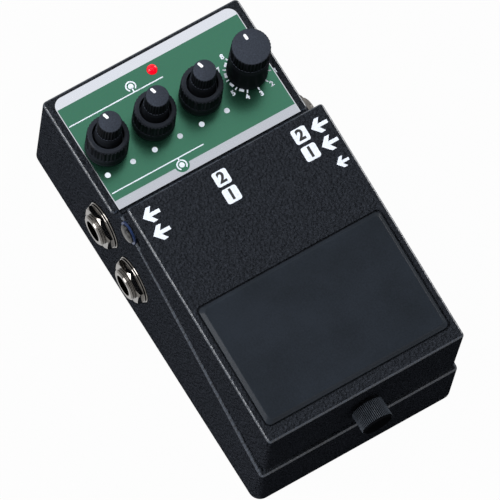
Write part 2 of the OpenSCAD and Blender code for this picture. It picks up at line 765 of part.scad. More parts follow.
module chassis() {
    color("#1b1c1e")
    difference() {
        union() {
            difference() {
                bay_shell();
                bay_space();
            }
            rear_shell();
            // Round ears that carry the pivot bushes
            for (side = [-1, 1])
                at_pivot(side)
                    translate([0, 0, in_x])
                        cylinder(pivot_face_x - in_x, r = ear_r);
        }
        difference() {
            inner_space();
            pocket_block();
            for (b = BOSSES)
                translate([b[0], b[1], bottom_top_z])
                    cylinder(b[1] > 0 ? boss_h : big, r = boss_r);
            for (p = POSTS)
                translate([p[0], p[1], board_top_z])
                    cylinder(p[0] == 0 ? big : post_h, r = post_r);
            translate([0, switch_y, switch_top_z])
                cylinder(big, r = switch_boss_r);
        }
        // Battery pocket
        translate([-pocket_w / 2, battery_y - pocket_d / 2, battery_z])
            cube([pocket_w, pocket_d, big]);
        // Recess for the printed plate
        translate([0, 0, panel_z - plate_t])
            linear_extrude(big)
                plate_outline(plate_gap);
        // Holes for the pots, the selector and the lamp
        for (x = POTS)
            translate([x, knob_y, 0])
                cylinder(big, r = pot_hole_r);
        translate([0, led_y, ceiling_z - 1])
            cylinder(big, r = led_r + fit_gap);
        // Flat seats and holes for the jacks
        for (j = JACKS)
            at_jack(j[0], j[1]) {
                translate([0, 0, jack_face_x])
                    cylinder(big, r = washer_r + seat_margin);
                translate([0, 0, jack_low_x])
                    cylinder(big, r = jack_bush_r + fit_gap);
            }
        // Hole for the power inlet
        translate([0, in_rear_y - 1, dc_z])
            rotate([-90, 0, 0])
                cylinder(big, r = dc_nose_r + fit_gap);
        // Flat seats and bores for the pivot bushes
        for (side = [-1, 1])
            at_pivot(side) {
                translate([0, 0, pivot_face_x])
                    cylinder(big, r = bush_flange_r + seat_margin);
                translate([0, 0, in_x - 1])
                    cylinder(big, r = bush_r + fit_gap);
            }
        // Bore for the switch plunger
        translate([0, switch_y, switch_top_z - 1])
            cylinder(big, r = plunger_r + fit_gap);
        // Screw holes in the bosses and the board posts
        for (b = BOSSES)
            translate([b[0], b[1], bottom_top_z - 1])
                cylinder(screw_l + 1, r = screw_r + fit_gap);
        for (p = POSTS)
            translate([p[0], p[1], board_top_z - 1])
                cylinder(board_screw_l + 1 - board_t, r = board_screw_r + fit_gap);
    }
    color("#1b1c1e") {
        // Seat and stud for the coil spring
        translate([0, spring_y, deck_under_z(spring_y)])
            cylinder(seat_z - deck_under_z(spring_y), r = base_flange_r);
        translate([0, spring_y, seat_z - 1])
            cylinder(stud_h + 1, r = stud_r);
        difference() {
            guide_post();
            guide_slot_cut(guide_wall);
        }
    }
}

// Plan of the printed plate, grown by a margin
module plate_outline(margin) {
    rounded_rect(-plate_w / 2 - margin, plate_y - margin,
        plate_w / 2 + margin, plate_rear_y + margin, plate_r);
    translate([-plate_w / 2 - margin, plate_y - margin])
        square([plate_w + 2 * margin, (plate_rear_y - plate_y) / 2]);
}

module control_plate() {
    color("#4a8468")
    difference() {
        translate([0, 0, panel_z - plate_t])
            linear_extrude(plate_t)
                plate_outline(0);
        for (x = POTS)
            translate([x, knob_y, 0])
                cylinder(big, r = pot_hole_r);
        translate([0, led_y, 0])
            cylinder(big, r = led_r + fit_gap);
    }
}

module bottom_plate() {
    color("#7d8084")
    difference() {
        translate([0, 0, base_t])
            linear_extrude(bottom_t)
                rounded_rect(-in_x + bottom_gap, in_front_y + bottom_gap,
                    in_x - bottom_gap, in_rear_y - bottom_gap, in_r);
        for (b = BOSSES)
            translate([b[0], b[1], 0])
                cylinder(big, r = screw_r + fit_gap);
    }
}

module bottom_screws() {
    color("#9a9da1")
    for (b = BOSSES)
        translate([b[0], b[1], base_t - screw_head_h])
            difference() {
                union() {
                    cylinder(screw_head_h, r = screw_head_r);
                    cylinder(screw_head_h + screw_l, r = screw_r);
                }
                // Cross recess
                for (a = [0, 90])
                    rotate([0, 0, a])
                        translate([-screw_head_r * 0.6, -0.3, -eps])
                            cube([screw_head_r * 1.2, 0.6, screw_head_h * 0.6]);
            }
}

module base_rubber() {
    color("#2a2b2d")
    difference() {
        linear_extrude(base_t)
            rounded_rect(-in_x + base_margin, in_front_y + base_margin,
                in_x - base_margin, in_rear_y - base_margin, in_r);
        for (b = BOSSES)
            translate([b[0], b[1], -1])
                cylinder(big, r = screw_head_r + screw_head_gap);
    }
}

module main_board() {
    color("#2f6b3d")
    difference() {
        translate([-in_x + board_gap, board_front_y, board_z])
            cube([2 * (in_x - board_gap), board_rear_y - board_front_y, board_t]);
        for (b = BOSSES)
            translate([b[0], b[1], 0])
                cylinder(big, r = boss_r + board_gap);
        for (p = POSTS)
            translate([p[0], p[1], 0])
                cylinder(big, r = board_screw_r + fit_gap);
    }
}

module board_screws() {
    color("#b0b2b5")
    for (p = POSTS)
        translate([p[0], p[1], board_z - board_head_h]) {
            cylinder(board_head_h, r = 2 * board_screw_r);
            cylinder(board_head_h + board_screw_l, r = board_screw_r);
        }
}

module control_board() {
    color("#2f6b3d")
    translate([-in_x + board_gap, control_board_rear_y - control_board_d, pot_z - board_t])
        cube([2 * (in_x - board_gap), control_board_d, board_t]);
}

// A pot or selector: square body, threaded bush through the panel, bore for its shaft
module pot(x) {
    translate([x, knob_y, 0])
        difference() {
            union() {
                translate([-pot_w / 2, -pot_w / 2, pot_z])
                    cube([pot_w, pot_w, pot_h]);
                translate([0, 0, pot_z])
                    cylinder(panel_z + pot_bush_rise - pot_z, r = pot_bush_r);
            }
            translate([0, 0, shaft_low_z])
                cylinder(big, r = shaft_r + run_gap);
        }
}

module pot_bodies() {
    color("#3f7fae")
    for (x = dual_x)
        pot(x);
}

module selector_body() {
    color("#8d9296")
    pot(mode_x);
}

module pot_nuts() {
    color("#c2c4c6")
    for (x = POTS)
        translate([x, knob_y, panel_z])
            linear_extrude(pot_nut_t)
                difference() {
                    hexagon(pot_nut_w);
                    circle(pot_hole_r);
                }
}

// Moulded jack body behind the wall, with the seat of its bush and a contact chamber
module jack_body(side, n) {
    color("#232427")
    at_jack(side, n)
        difference() {
            translate([-jack_body_h / 2, -jack_body_w / 2, in_x - jack_body_l])
                cube([jack_body_h, jack_body_w, jack_body_l]);
            translate([0, 0, jack_low_x])
                cylinder(big, r = jack_bush_r + fit_gap);
            translate([0, 0, in_x - jack_body_l + jack_end_t])
                cylinder(big, r = plug_r + chamber_gap);
        }
}

module jack_bushes() {
    color("#d8d9db")
    for (j = JACKS)
        at_jack(j[0], j[1])
            translate([0, 0, jack_low_x])
                difference() {
                    union() {
                        cylinder(jack_reach - jack_low_x - jack_chamfer, r = jack_bush_r);
                        translate([0, 0, jack_reach - jack_low_x - jack_chamfer - eps])
                            cylinder(jack_chamfer + eps, r1 = jack_bush_r, r2 = jack_bush_r - jack_chamfer);
                    }
                    translate([0, 0, -1])
                        cylinder(big, r = plug_r);
                }
}

// A flat ring with a chamfered upper edge that slides on a jack's bush
module jack_ring(r, t) {
    c = flange_chamfer;
    bore_r = jack_bush_r + fit_gap;
    rotate_extrude()
        polygon([[bore_r, 0], [r, 0], [r, t - c], [r - c, t], [bore_r, t]]);
}

module jack_washers() {
    color("#c9cacc")
    for (j = JACKS)
        at_jack(j[0], j[1])
            translate([0, 0, jack_face_x])
                jack_ring(washer_r, washer_t);
}

module jack_nuts() {
    face_r = jack_nut_w / 2 + jack_chamfer / 2;
    color("#d2d3d5")
    for (j = JACKS)
        at_jack(j[0], j[1])
            translate([0, 0, jack_face_x + washer_t]) {
                jack_ring(nut_flange_r, nut_flange_t);
                intersection() {
                    linear_extrude(jack_nut_t)
                        difference() {
                            hexagon(jack_nut_w);
                            circle(jack_bush_r + fit_gap);
                        }
                    // Chamfered corners
                    cylinder(jack_nut_t, r1 = face_r + jack_nut_t, r2 = face_r);
                }
            }
}

module dc_inlet() {
    nose_l = rear_y - in_rear_y - top_draft / 2;
    color("#202123")
    difference() {
        union() {
            translate([-dc_w / 2, in_rear_y - dc_l, dc_z - dc_h / 2])
                cube([dc_w, dc_l, dc_h]);
            translate([0, in_rear_y - eps, dc_z])
                rotate([-90, 0, 0])
                    cylinder(nose_l, r = dc_nose_r);
        }
        translate([0, in_rear_y + nose_l - dc_socket_d, dc_z])
            rotate([-90, 0, 0])
                difference() {
                    cylinder(big, r = dc_socket_r);
                    translate([0, 0, -1])
                        cylinder(dc_socket_d - 0.5, r = dc_pin_r);
                }
    }
}

module led_lens() {
    color("#e0122a")
    translate([0, led_y, 0]) {
        translate([0, 0, ceiling_z - 1])
            cylinder(panel_z + led_rise - led_r - ceiling_z + 1, r = led_r);
        translate([0, 0, panel_z + led_rise - led_r])
            sphere(led_r);
    }
}

module battery() {
    color("#55585c")
    translate([-battery_w / 2, battery_y - battery_d / 2, battery_z]) {
        cube([battery_w - terminal_l, battery_d, battery_h]);
        for (y = [-1, 1])
            translate([battery_w - terminal_l - eps, battery_d / 2 + y * battery_d / 4, battery_h / 2])
                rotate([0, 90, 0])
                    cylinder(terminal_l, r = y < 0 ? 2.8 : 3.6);
    }
}

module foot_switch() {
    color("#2b2c30")
    translate([0, switch_y, switch_top_z - switch_h])
        difference() {
            translate([-switch_w / 2, -switch_w / 2, 0])
                cube([switch_w, switch_w, switch_h]);
            translate([0, 0, plunger_foot - 1])
                cylinder(big, r = plunger_r + run_gap);
        }
}

module switch_plunger() {
    color("#e8e8e4")
    translate([0, switch_y, plunger_low_z])
        cylinder(plunger_top_z - plunger_low_z, r = plunger_r);
}

module guide_bush() {
    color("#e6e4da")
    intersection() {
        difference() {
            guide_slot_cut(guide_wall - fit_gap);
            guide_slot_cut(0);
        }
        translate([-guide_w, guide_y, 0])
            cube([2 * guide_w, guide_t, guide_top_z]);
    }
}

module pivot_bushes() {
    color("#2f4f8a")
    for (side = [-1, 1])
        at_pivot(side)
            difference() {
                union() {
                    translate([0, 0, in_x])
                        cylinder(pivot_face_x - in_x + eps, r = bush_r);
                    translate([0, 0, pivot_face_x])
                        cylinder(bush_flange_t, r = bush_flange_r);
                }
                cylinder(big, r = pin_r + run_gap);
            }
}

module pivot_pins() {
    head_x = pivot_face_x + bush_flange_t;
    head_gap = 0.05;
    color("#dcdddf")
    for (side = [-1, 1])
        at_pivot(side) {
            translate([0, 0, lug_x - 0.6])
                cylinder(head_x - lug_x + 0.6 + head_gap + eps, r = pin_r);
            translate([0, 0, head_x + head_gap])
                rotate_extrude()
                    polygon(concat(
                        [[0, 0], [pin_head_r, 0], [pin_head_r, pin_head_h / 3]],
                        [for (a = [15:15:75]) [pin_head_r * cos(a), pin_head_h * (1 + 2 * sin(a)) / 3]],
                        [[0, pin_head_h]]
                    ));
        }
}

// Outer shell of the treadle, a wedge that is deep at the front
module treadle_shell() {
    foot_z = skirt_front_z - 2;
    function lean(y) = tan(treadle_draft) * (treadle_z(y) - foot_z);
    foot_x = treadle_w / 2 + lean(treadle_y);
    difference() {
        hull()
            for (sx = [-1, 1], end = [[treadle_y, 1], [treadle_rear_y, -1]]) {
                top_in = lean(end[0]) + treadle_top_r;
                top_y = end[0] + end[1] * top_in;
                corner_post([sx * (foot_x - treadle_r), end[0] + end[1] * treadle_r],
                    [sx * (foot_x - top_in), top_y], foot_z,
                    post_top(treadle_z(top_y), treadle_angle, treadle_top_r), treadle_r, treadle_top_r);
            }
        // Sloping lower edge of the skirt
        side_profile([
            [-big, 0], [big, 0], [big, skirt_rear_z], [treadle_rear_y, skirt_rear_z],
            [treadle_y, skirt_front_z], [-big, skirt_front_z]
        ], big);
    }
}

// Hollow of the treadle, open at the bottom
module treadle_space() {
    y0 = treadle_y + skirt_t;
    y1 = treadle_rear_y - skirt_t;
    intersection() {
        side_profile([
            [y0, 0], [y1, 0], [y1, treadle_under_z(y1)], [y0, treadle_under_z(y0)]
        ], 2 * treadle_in_x);
        linear_extrude(big)
            rounded_rect(-treadle_in_x, y0, treadle_in_x, y1, in_r);
    }
}

module treadle() {
    web_y0 = pivot_y - lug_r;
    web_y1 = treadle_rear_y - skirt_t + eps;
    color("#1d1e20")
    difference() {
        union() {
            difference() {
                treadle_shell();
                treadle_space();
                // Cut-outs of the skirt round the pivot
                for (side = [-1, 1])
                    at_pivot(side)
                        translate([0, 0, treadle_in_x - 0.2])
                            cylinder(big, r = notch_r);
            }
            // Pivot lugs
            for (side = [-1, 1]) {
                at_pivot(side)
                    translate([0, 0, lug_x])
                        cylinder(lug_w, r = lug_r);
                translate([side > 0 ? lug_x : -lug_x - lug_w, web_y0, pivot_z])
                    cube([lug_w, web_y1 - web_y0, treadle_under_z(web_y0) - pivot_z + eps]);
            }
            // Stiffening ribs
            for (side = [-1, 1])
                translate([side * treadle_in_x * 0.6, 0, 0])
                    side_profile([
                        [treadle_y + 1, treadle_under_z(treadle_y + 1) - rib_d],
                        [treadle_rear_y - 1, treadle_under_z(treadle_rear_y - 1) - rib_d],
                        [treadle_rear_y - 1, treadle_under_z(treadle_rear_y - 1) + eps],
                        [treadle_y + 1, treadle_under_z(treadle_y + 1) + eps]
                    ], rib_t);
            // Bosses for the spring base and the switch presser
            translate([0, spring_y, spring_top_z + base_flange_t])
                cylinder(treadle_under_z(spring_y) - spring_top_z - base_flange_t + 1, r = base_flange_r);
            translate([0, switch_y, presser_low_z + presser_h])
                cylinder(treadle_under_z(switch_y) - presser_low_z - presser_h + 1, r = presser_r + 1);
        }
        // Recess for the pad
        on_treadle()
            translate([0, 0, -pad_sink])
                linear_extrude(big)
                    pad_outline(pad_groove);
        // Hole for the thumbscrew
        at_thumb()
            translate([0, 0, -treadle_y - skirt_t - 2])
                cylinder(big, r = shank_r + run_gap);
        // Bores for the pivot pins
        for (side = [-1, 1])
            at_pivot(side)
                translate([0, 0, lug_x - 1])
                    cylinder(big, r = pin_r + run_gap);
    }
}

// Plan of the pad on the treadle's slope, grown by a margin
module pad_outline(margin) {
    rounded_rect(-pad_w / 2 - margin, pad_in - margin, pad_w / 2 + margin, pad_in + pad_d + margin, pad_r);
}

module treadle_pad() {
    color("#2a2e35")
    on_treadle() {
        translate([0, 0, -pad_sink])
            linear_extrude(pad_sink)
                pad_outline(0);
        hull() {
            translate([0, 0, -eps])
                linear_extrude(eps)
                    pad_outline(0);
            translate([0, 0, pad_rise - eps])
                linear_extrude(eps)
                    pad_outline(-pad_bevel);
        }
    }
}

module spring_base() {
    color("#d9d6c8")
    translate([0, spring_y, 0]) {
        translate([0, 0, spring_top_z])
            cylinder(base_flange_t, r = base_flange_r);
        translate([0, 0, spring_top_z - spigot_l])
            cylinder(spigot_l + eps, r = spigot_r);
    }
}

// Coil spring: one helical tube from the seat up to the spring base
rings_per_turn = 8;
wire_sides = 6;
spring_rings = spring_turns * rings_per_turn;
spring_pitch = (spring_l - 2 * wire_r - 0.02) / spring_turns;
function coil_point(i) = [
    coil_r * cos(360 * i / rings_per_turn),
    coil_r * sin(360 * i / rings_per_turn),
    wire_r + 0.01 + spring_pitch * i / rings_per_turn
];
coil_lean = atan(spring_pitch / (2 * PI * coil_r));
function wire_ring(i) = [for (k = [0:wire_sides - 1])
    let (a = 360 * i / rings_per_turn, b = 360 * k / wire_sides)
    coil_point(i) + wire_r * cos(b) * [cos(a), sin(a), 0]
        + wire_r * sin(b) * [sin(coil_lean) * sin(a), -sin(coil_lean) * cos(a), cos(coil_lean)]
];
coil_gap = min([for (i = [0:spring_rings], j = [i + 4:min(i + 12, spring_rings)])
    norm(coil_point(i) - coil_point(j)) - 2 * wire_r]);
echo(least_gap_between_the_curls_of_the_coil_spring = coil_gap);

module coil_spring() {
    points = [for (i = [0:spring_rings]) each wire_ring(i)];
    last = spring_rings * wire_sides;
    sides = [for (i = [0:spring_rings - 1], k = [0:wire_sides - 1])
        let (a = i * wire_sides + k, b = i * wire_sides + (k + 1) % wire_sides)
        each [[a, b + wire_sides, b], [a, a + wire_sides, b + wire_sides]]
    ];
    ends = [for (k = [1:wire_sides - 2]) each [[0, k, k + 1], [last, last + k + 1, last + k]]];
    color("#a9abae")
    translate([0, spring_y, seat_z])
        polyhedron(points, concat(sides, ends));
}

module switch_presser() {
    color("#26272a")
    translate([0, switch_y, presser_low_z])
        cylinder(presser_h, r = presser_r);
}

module thumbscrew() {
    color("#232427")
    at_thumb() {
        translate([0, 0, -thumb_head_y]) {
            linear_extrude(thumb_l - 0.5)
                splined(thumb_r, thumb_ridges, spline_d);
            translate([0, 0, thumb_l - 0.5 - eps])
                cylinder(0.5 + eps, r1 = thumb_r - spline_d, r2 = thumb_r - spline_d - 0.4);
        }
        translate([0, 0, -thumb_head_y - collar_l + 0.2])
            cylinder(collar_l, r = collar_r);
        translate([0, 0, -treadle_y - skirt_t])
            cylinder(skirt_t + 1, r = shank_r);
        translate([0, 0, -tip_y])
            cylinder(tip_y - treadle_y, r = tip_r);
    }
}

module outer_shaft(i) {
    color("#a5a8ab")
    translate([dual_x[i], knob_y, shaft_low_z + 0.2])
        difference() {
            cylinder(cup_z - shaft_low_z - 0.2, r = shaft_r);
            translate([0, 0, -1])
                cylinder(big, r = inner_shaft_r + run_gap);
        }
}

module outer_knob(i) {
    rim_r = outer_top_r - spline_d;
    color("#26272b")
    translate([dual_x[i], knob_y, 0])
        difference() {
            union() {
                splined_body(knob_z, outer_h - 2 * rim_chamfer, outer_r, outer_top_r, outer_splines);
                // Smooth rim with a chamfered edge
                translate([0, 0, knob_z + outer_h - 2 * rim_chamfer - eps])
                    cylinder(rim_chamfer + eps, r = rim_r);
                translate([0, 0, knob_z + outer_h - rim_chamfer - eps])
                    cylinder(rim_chamfer + eps, r1 = rim_r, r2 = rim_r - rim_chamfer);
            }
            translate([0, 0, knob_z - 1])
                cylinder(nut_pocket_h + 1, r = nut_pocket_r);
            translate([0, 0, knob_z])
                cylinder(outer_h, r = shaft_r);
            translate([0, 0, cup_z])
                cylinder(big, r = cup_r);
        }
}

module inner_shaft(i) {
    color("#b4b6b9")
    translate([dual_x[i], knob_y, shaft_low_z])
        cylinder(cup_z + cup_gap + grip_d - shaft_low_z, r = inner_shaft_r);
}

module inner_knob(i) {
    z0 = cup_z + cup_gap;
    color("#2b2c31")
    translate([dual_x[i], knob_y, 0])
        difference() {
            union() {
                splined_body(z0, knob_top_z - dome_h - z0, inner_r, inner_top_r, inner_splines);
                knob_dome(knob_top_z, inner_top_r - spline_d / 2);
            }
            translate([0, 0, z0 - 1])
                cylinder(grip_d + 1, r = inner_shaft_r);
            rotate(pointer_turn)
                pointer_bar(knob_top_z, inner_top_r - spline_d / 2, 0.01);
        }
}

module inner_pointer(i) {
    color("#f4f4f2")
    translate([dual_x[i], knob_y, 0])
        rotate(pointer_turn)
            pointer_bar(knob_top_z, inner_top_r - spline_d / 2, 0);
}

module selector_shaft() {
    color("#a5a8ab")
    translate([mode_x, knob_y, shaft_low_z])
        cylinder(knob_z + nut_pocket_h + grip_d - shaft_low_z, r = shaft_r);
}

module selector_knob() {
    color("#26272b")
    translate([mode_x, knob_y, 0])
        difference() {
            union() {
                splined_body(knob_z, mode_top_z - dome_h - knob_z, mode_r, mode_top_r, outer_splines);
                knob_dome(mode_top_z, mode_top_r - spline_d / 2);
            }
            translate([0, 0, knob_z - 1])
                cylinder(nut_pocket_h + 1, r = nut_pocket_r);
            translate([0, 0, knob_z])
                cylinder(nut_pocket_h + grip_d, r = shaft_r);
            pointer_bar(mode_top_z, mode_top_r - spline_d / 2, 0.01);
        }
}

module selector_pointer() {
    color("#f4f4f2")
    translate([mode_x, knob_y, 0])
        pointer_bar(mode_top_z, mode_top_r - spline_d / 2, 0);
}

chassis();
control_plate();
bottom_plate();
bottom_screws();
base_rubber();
main_board();
board_screws();
control_board();
pot_bodies();
selector_body();
pot_nuts();
jack_body(-1, 1);  // output_jack_1
jack_body(-1, 0);  // output_jack_2
jack_body(1, 1);  // input_jack_1
jack_body(1, 0);  // input_jack_2
jack_body(1, 2);  // control_jack
jack_bushes();
jack_washers();
jack_nuts();
dc_inlet();
led_lens();
battery();
foot_switch();
guide_bush();
pivot_bushes();
pivot_pins();
treadle();
treadle_pad();
spring_base();
coil_spring();
switch_presser();
thumbscrew();
switch_plunger();
outer_knob(0);  // outer_knob_1
outer_knob(1);  // outer_knob_2
outer_knob(2);  // outer_knob_3
outer_shaft(0);  // outer_shaft_1
outer_shaft(1);  // outer_shaft_2
outer_shaft(2);  // outer_shaft_3
inner_knob(0);  // inner_knob_1
inner_knob(1);  // inner_knob_2
inner_knob(2);  // inner_knob_3
inner_shaft(0);  // inner_shaft_1
inner_shaft(1);  // inner_shaft_2
inner_shaft(2);  // inner_shaft_3
inner_pointer(0);  // inner_pointer_1
inner_pointer(1);  // inner_pointer_2
inner_pointer(2);  // inner_pointer_3
selector_knob();
selector_shaft();
selector_pointer();
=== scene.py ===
import json
import math

import bmesh
import bpy
from mathutils import Matrix, Quaternion, Vector


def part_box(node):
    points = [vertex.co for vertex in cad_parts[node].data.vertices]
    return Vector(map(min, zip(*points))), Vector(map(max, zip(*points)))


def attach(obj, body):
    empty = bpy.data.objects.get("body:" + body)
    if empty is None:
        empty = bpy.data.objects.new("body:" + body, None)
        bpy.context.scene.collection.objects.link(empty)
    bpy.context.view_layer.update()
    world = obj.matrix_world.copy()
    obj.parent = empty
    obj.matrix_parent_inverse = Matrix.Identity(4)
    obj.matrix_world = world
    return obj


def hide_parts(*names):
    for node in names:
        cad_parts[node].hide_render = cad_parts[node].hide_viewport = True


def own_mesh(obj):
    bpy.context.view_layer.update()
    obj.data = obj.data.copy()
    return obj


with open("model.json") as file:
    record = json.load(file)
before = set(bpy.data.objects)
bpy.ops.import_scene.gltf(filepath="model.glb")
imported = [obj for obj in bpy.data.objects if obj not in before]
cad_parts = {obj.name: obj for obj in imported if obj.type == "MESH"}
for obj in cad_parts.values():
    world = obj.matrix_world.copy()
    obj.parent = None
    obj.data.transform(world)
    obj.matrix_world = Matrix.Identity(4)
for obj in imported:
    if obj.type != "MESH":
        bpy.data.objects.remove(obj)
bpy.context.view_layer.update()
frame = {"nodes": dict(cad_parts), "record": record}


# Chassis: one aluminium die casting, a low wedge-shaped bay in front and a level housing behind. It and
# the treadle are sprayed with a thick black paint that dries to a fine leathery grain over drafted walls
# and rounded edges.
mm = 0.001


def linear(colour):
    """A linear colour with alpha from an sRGB hex value."""
    parts = [int(colour[i:i + 2], 16) / 255 for i in (1, 3, 5)]
    return [c / 12.92 if c <= 0.04045 else ((c + 0.055) / 1.055) ** 2.4 for c in parts] + [1.0]


def add(tree, kind, values=None, links=None, stops=None, **settings):
    """Adds a node with its settings, its unlinked values, its links and, for a ramp, its colours."""
    node = tree.nodes.new(kind)
    for key, value in settings.items():
        setattr(node, key, value)
    for key, value in (values or {}).items():
        node.inputs[key].default_value = value
    for key, socket in (links or {}).items():
        tree.links.new(socket, node.inputs[key])
    for i, (place, colour) in enumerate(stops or []):
        element = node.color_ramp.elements[i] if i < 2 else node.color_ramp.elements.new(place)
        element.position = place
        element.color = linear(colour)
    return node


def new_finish(name, **values):
    """A material, its tree, its shader and its object coordinates."""
    material = bpy.data.materials.new(name)
    material.use_nodes = True
    shader = material.node_tree.nodes["Principled BSDF"]
    for key, value in values.items():
        shader.inputs[key.replace("_", " ")].default_value = value
    coordinates = add(material.node_tree, "ShaderNodeTexCoord").outputs["Object"]
    return material, material.node_tree, shader, coordinates


def paint(material, *names):
    """Gives CAD nodes a finish."""
    for name in names:
        node = frame["nodes"][name]
        node.data.materials.clear()
        node.data.materials.append(material)


# Leather-grain enamel: soft ripples about 0.8 mm across on a matt blue-black ground. The paint draws thin
# over the rounded edges and is rubbed glossy there, and their colour is painted a lighter blue-grey as a
# painted highlight, so they carry a bright broken line of light.
grain_paint, tree, shader, coordinates = new_finish(
    "Leather-grain black enamel on die-cast aluminium", Roughness=0.8, Specular_IOR_Level=0.0,
    Coat_Roughness=0.22, Coat_IOR=1.7)
bend_reach = 0.6 * mm
warp = add(tree, "ShaderNodeTexNoise", {"Scale": 1 / (1.6 * mm), "Detail": 2.0}, {"Vector": coordinates})
bent = add(tree, "ShaderNodeMix", {"Factor": bend_reach}, {"A": coordinates, "B": warp.outputs["Color"]},
           data_type="VECTOR")
pebbles = add(tree, "ShaderNodeTexVoronoi", {"Scale": 1 / (0.8 * mm), "Smoothness": 0.7},
              {"Vector": bent.outputs["Result"]}, feature="SMOOTH_F1")
speck = add(tree, "ShaderNodeTexNoise", {"Scale": 1 / (0.7 * mm), "Detail": 3.0, "Roughness": 0.6},
            {"Vector": coordinates})
ground = add(tree, "ShaderNodeValToRGB", links={"Fac": speck.outputs["Fac"]},
             stops=[(0.34, "#272a2f"), (0.56, "#2f3238"), (0.74, "#3b3f47")])
facing = add(tree, "ShaderNodeSeparateXYZ", links={"Vector": coordinates.node.outputs["Normal"]})
rounded = add(tree, "ShaderNodeValToRGB", links={"Fac": facing.outputs["Z"]},
              stops=[(0.32, "#000000"), (0.48, "#c8c8c8"), (0.86, "#c8c8c8"), (0.95, "#303030")])
# Painted highlight: the colour is mixed toward a lighter blue-grey on the rounded edges, and very faintly on
# level tops.
painted_edge_highlight = add(tree, "ShaderNodeMix", {"B": linear("#434d5c")},
             {"Factor": rounded.outputs["Color"], "A": ground.outputs["Color"]}, data_type="RGBA")
tree.links.new(painted_edge_highlight.outputs["Result"], shader.inputs["Base Color"])
tree.links.new(rounded.outputs["Color"], shader.inputs["Coat Weight"])
height = add(tree, "ShaderNodeMath", links={0: pebbles.outputs["Distance"], 1: speck.outputs["Fac"]},
             operation="SUBTRACT")
relief = add(tree, "ShaderNodeBump", {"Strength": 1.0, "Distance": 1.8 * mm},
             {"Height": height.outputs["Value"]}, invert=True)
tree.links.new(relief.outputs["Normal"], shader.inputs["Normal"])
smoother = add(tree, "ShaderNodeBump", {"Strength": 0.22, "Distance": 0.2 * mm},
               {"Height": height.outputs["Value"]}, invert=True)
tree.links.new(smoother.outputs["Normal"], shader.inputs["Coat Normal"])
paint(grain_paint, "chassis", "treadle")


# Base: a zinc-plated steel plate closes the chassis from below, held by four pan-head screws, and a
# black rubber sheet glued under it keeps the pedal from sliding.
def mottle(tree, shader, coordinates, grain, stops, **noise):
    """Colours a finish by a noise with grains of a size in mm, and gives back the noise."""
    pattern = add(tree, "ShaderNodeTexNoise", {"Scale": 1 / (grain * mm), **noise}, {"Vector": coordinates})
    tone = add(tree, "ShaderNodeValToRGB", links={"Fac": pattern.outputs["Fac"]}, stops=stops)
    tree.links.new(tone.outputs["Color"], shader.inputs["Base Color"])
    return pattern.outputs["Fac"]


# Zinc plating clouds over, so broad patches differ a little in tone and in shine.
zinc, tree, shader, coordinates = new_finish("Zinc-plated steel", Metallic=1.0)
bloom = mottle(tree, shader, coordinates, 6, [(0.35, "#8f9499"), (0.65, "#b9bdc0")], Detail=4.0)
dull = add(tree, "ShaderNodeMapRange", {"To Min": 0.28, "To Max": 0.48}, {"Value": bloom})
tree.links.new(dull.outputs["Result"], shader.inputs["Roughness"])
paint(zinc, "bottom_plate", "bottom_screws", "board_screws", "pot_nuts")

# Sheet rubber is matt, with a shallow crepe on its face.
sheet_rubber, tree, shader, coordinates = new_finish("Black sheet rubber", Roughness=0.85)
crepe = mottle(tree, shader, coordinates, 0.8, [(0.3, "#1a1b1c"), (0.7, "#26272a")], Detail=3.0)
relief = add(tree, "ShaderNodeBump", {"Strength": 0.3, "Distance": 0.1 * mm}, {"Height": crepe})
tree.links.new(relief.outputs["Normal"], shader.inputs["Normal"])
paint(sheet_rubber, "base_rubber")


# Circuit boards: glass-epoxy laminate under green solder resist, with copper tracks that show through as
# paler lines. The main board is screwed to posts of the casting, and the control board sits under the panel.
board_resist, tree, shader, coordinates = new_finish("Green solder resist on glass-epoxy board",
                                                     Roughness=0.35)
tracks = add(tree, "ShaderNodeTexBrick",
             {"Scale": 1 / (9 * mm), "Mortar Size": 0.03, "Mortar": linear("#3a7d4d"),
              "Color1": linear("#1d5a33"), "Color2": linear("#226339")}, {"Vector": coordinates})
tree.links.new(tracks.outputs["Color"], shader.inputs["Base Color"])
paint(board_resist, "main_board", "control_board")


# Pot and selector bodies: small moulded cases under the panel, with threaded bushes that come up through it
# and are held by hex nuts. The blue phenolic is slightly mottled.
pot_case, tree, shader, coordinates = new_finish("Moulded phenolic pot case", Roughness=0.5)
mottle(tree, shader, coordinates, 1.5, [(0.35, "#2c4d6b"), (0.65, "#365a7a")], Detail=3.0)
paint(pot_case, "pot_bodies", "selector_body")


# Black mouldings: glass-filled nylon jack bodies, power inlet, foot switch and presser. The mould was spark
# eroded, so the surface is matt with a faint mottle.
black_moulding, tree, shader, coordinates = new_finish("Black glass-filled nylon moulding", Roughness=0.5)
erosion = mottle(tree, shader, coordinates, 0.4, [(0.3, "#141516"), (0.7, "#1e1f21")], Detail=2.0)
relief = add(tree, "ShaderNodeBump", {"Strength": 0.2, "Distance": 0.03 * mm}, {"Height": erosion})
tree.links.new(relief.outputs["Normal"], shader.inputs["Normal"])
paint(black_moulding, "output_jack_1", "output_jack_2", "input_jack_1", "input_jack_2", "control_jack",
      "dc_inlet", "foot_switch", "switch_presser")


# Jack bushes, washers and nuts: turned brass with bright nickel plating, mirror-like and a little warm.
# Each bush comes out through the wall and is clamped by a washer and a flanged hex nut.
nickel, tree, shader, coordinates = new_finish("Bright nickel plating on turned brass", Metallic=1.0)
handling = mottle(tree, shader, coordinates, 2.5, [(0.3, "#5a5754"), (0.7, "#83807c")], Detail=4.0)
polish = add(tree, "ShaderNodeMapRange", {"To Min": 0.06, "To Max": 0.2}, {"Value": handling})
tree.links.new(polish.outputs["Result"], shader.inputs["Roughness"])
paint(nickel, "jack_bushes", "jack_washers", "jack_nuts")


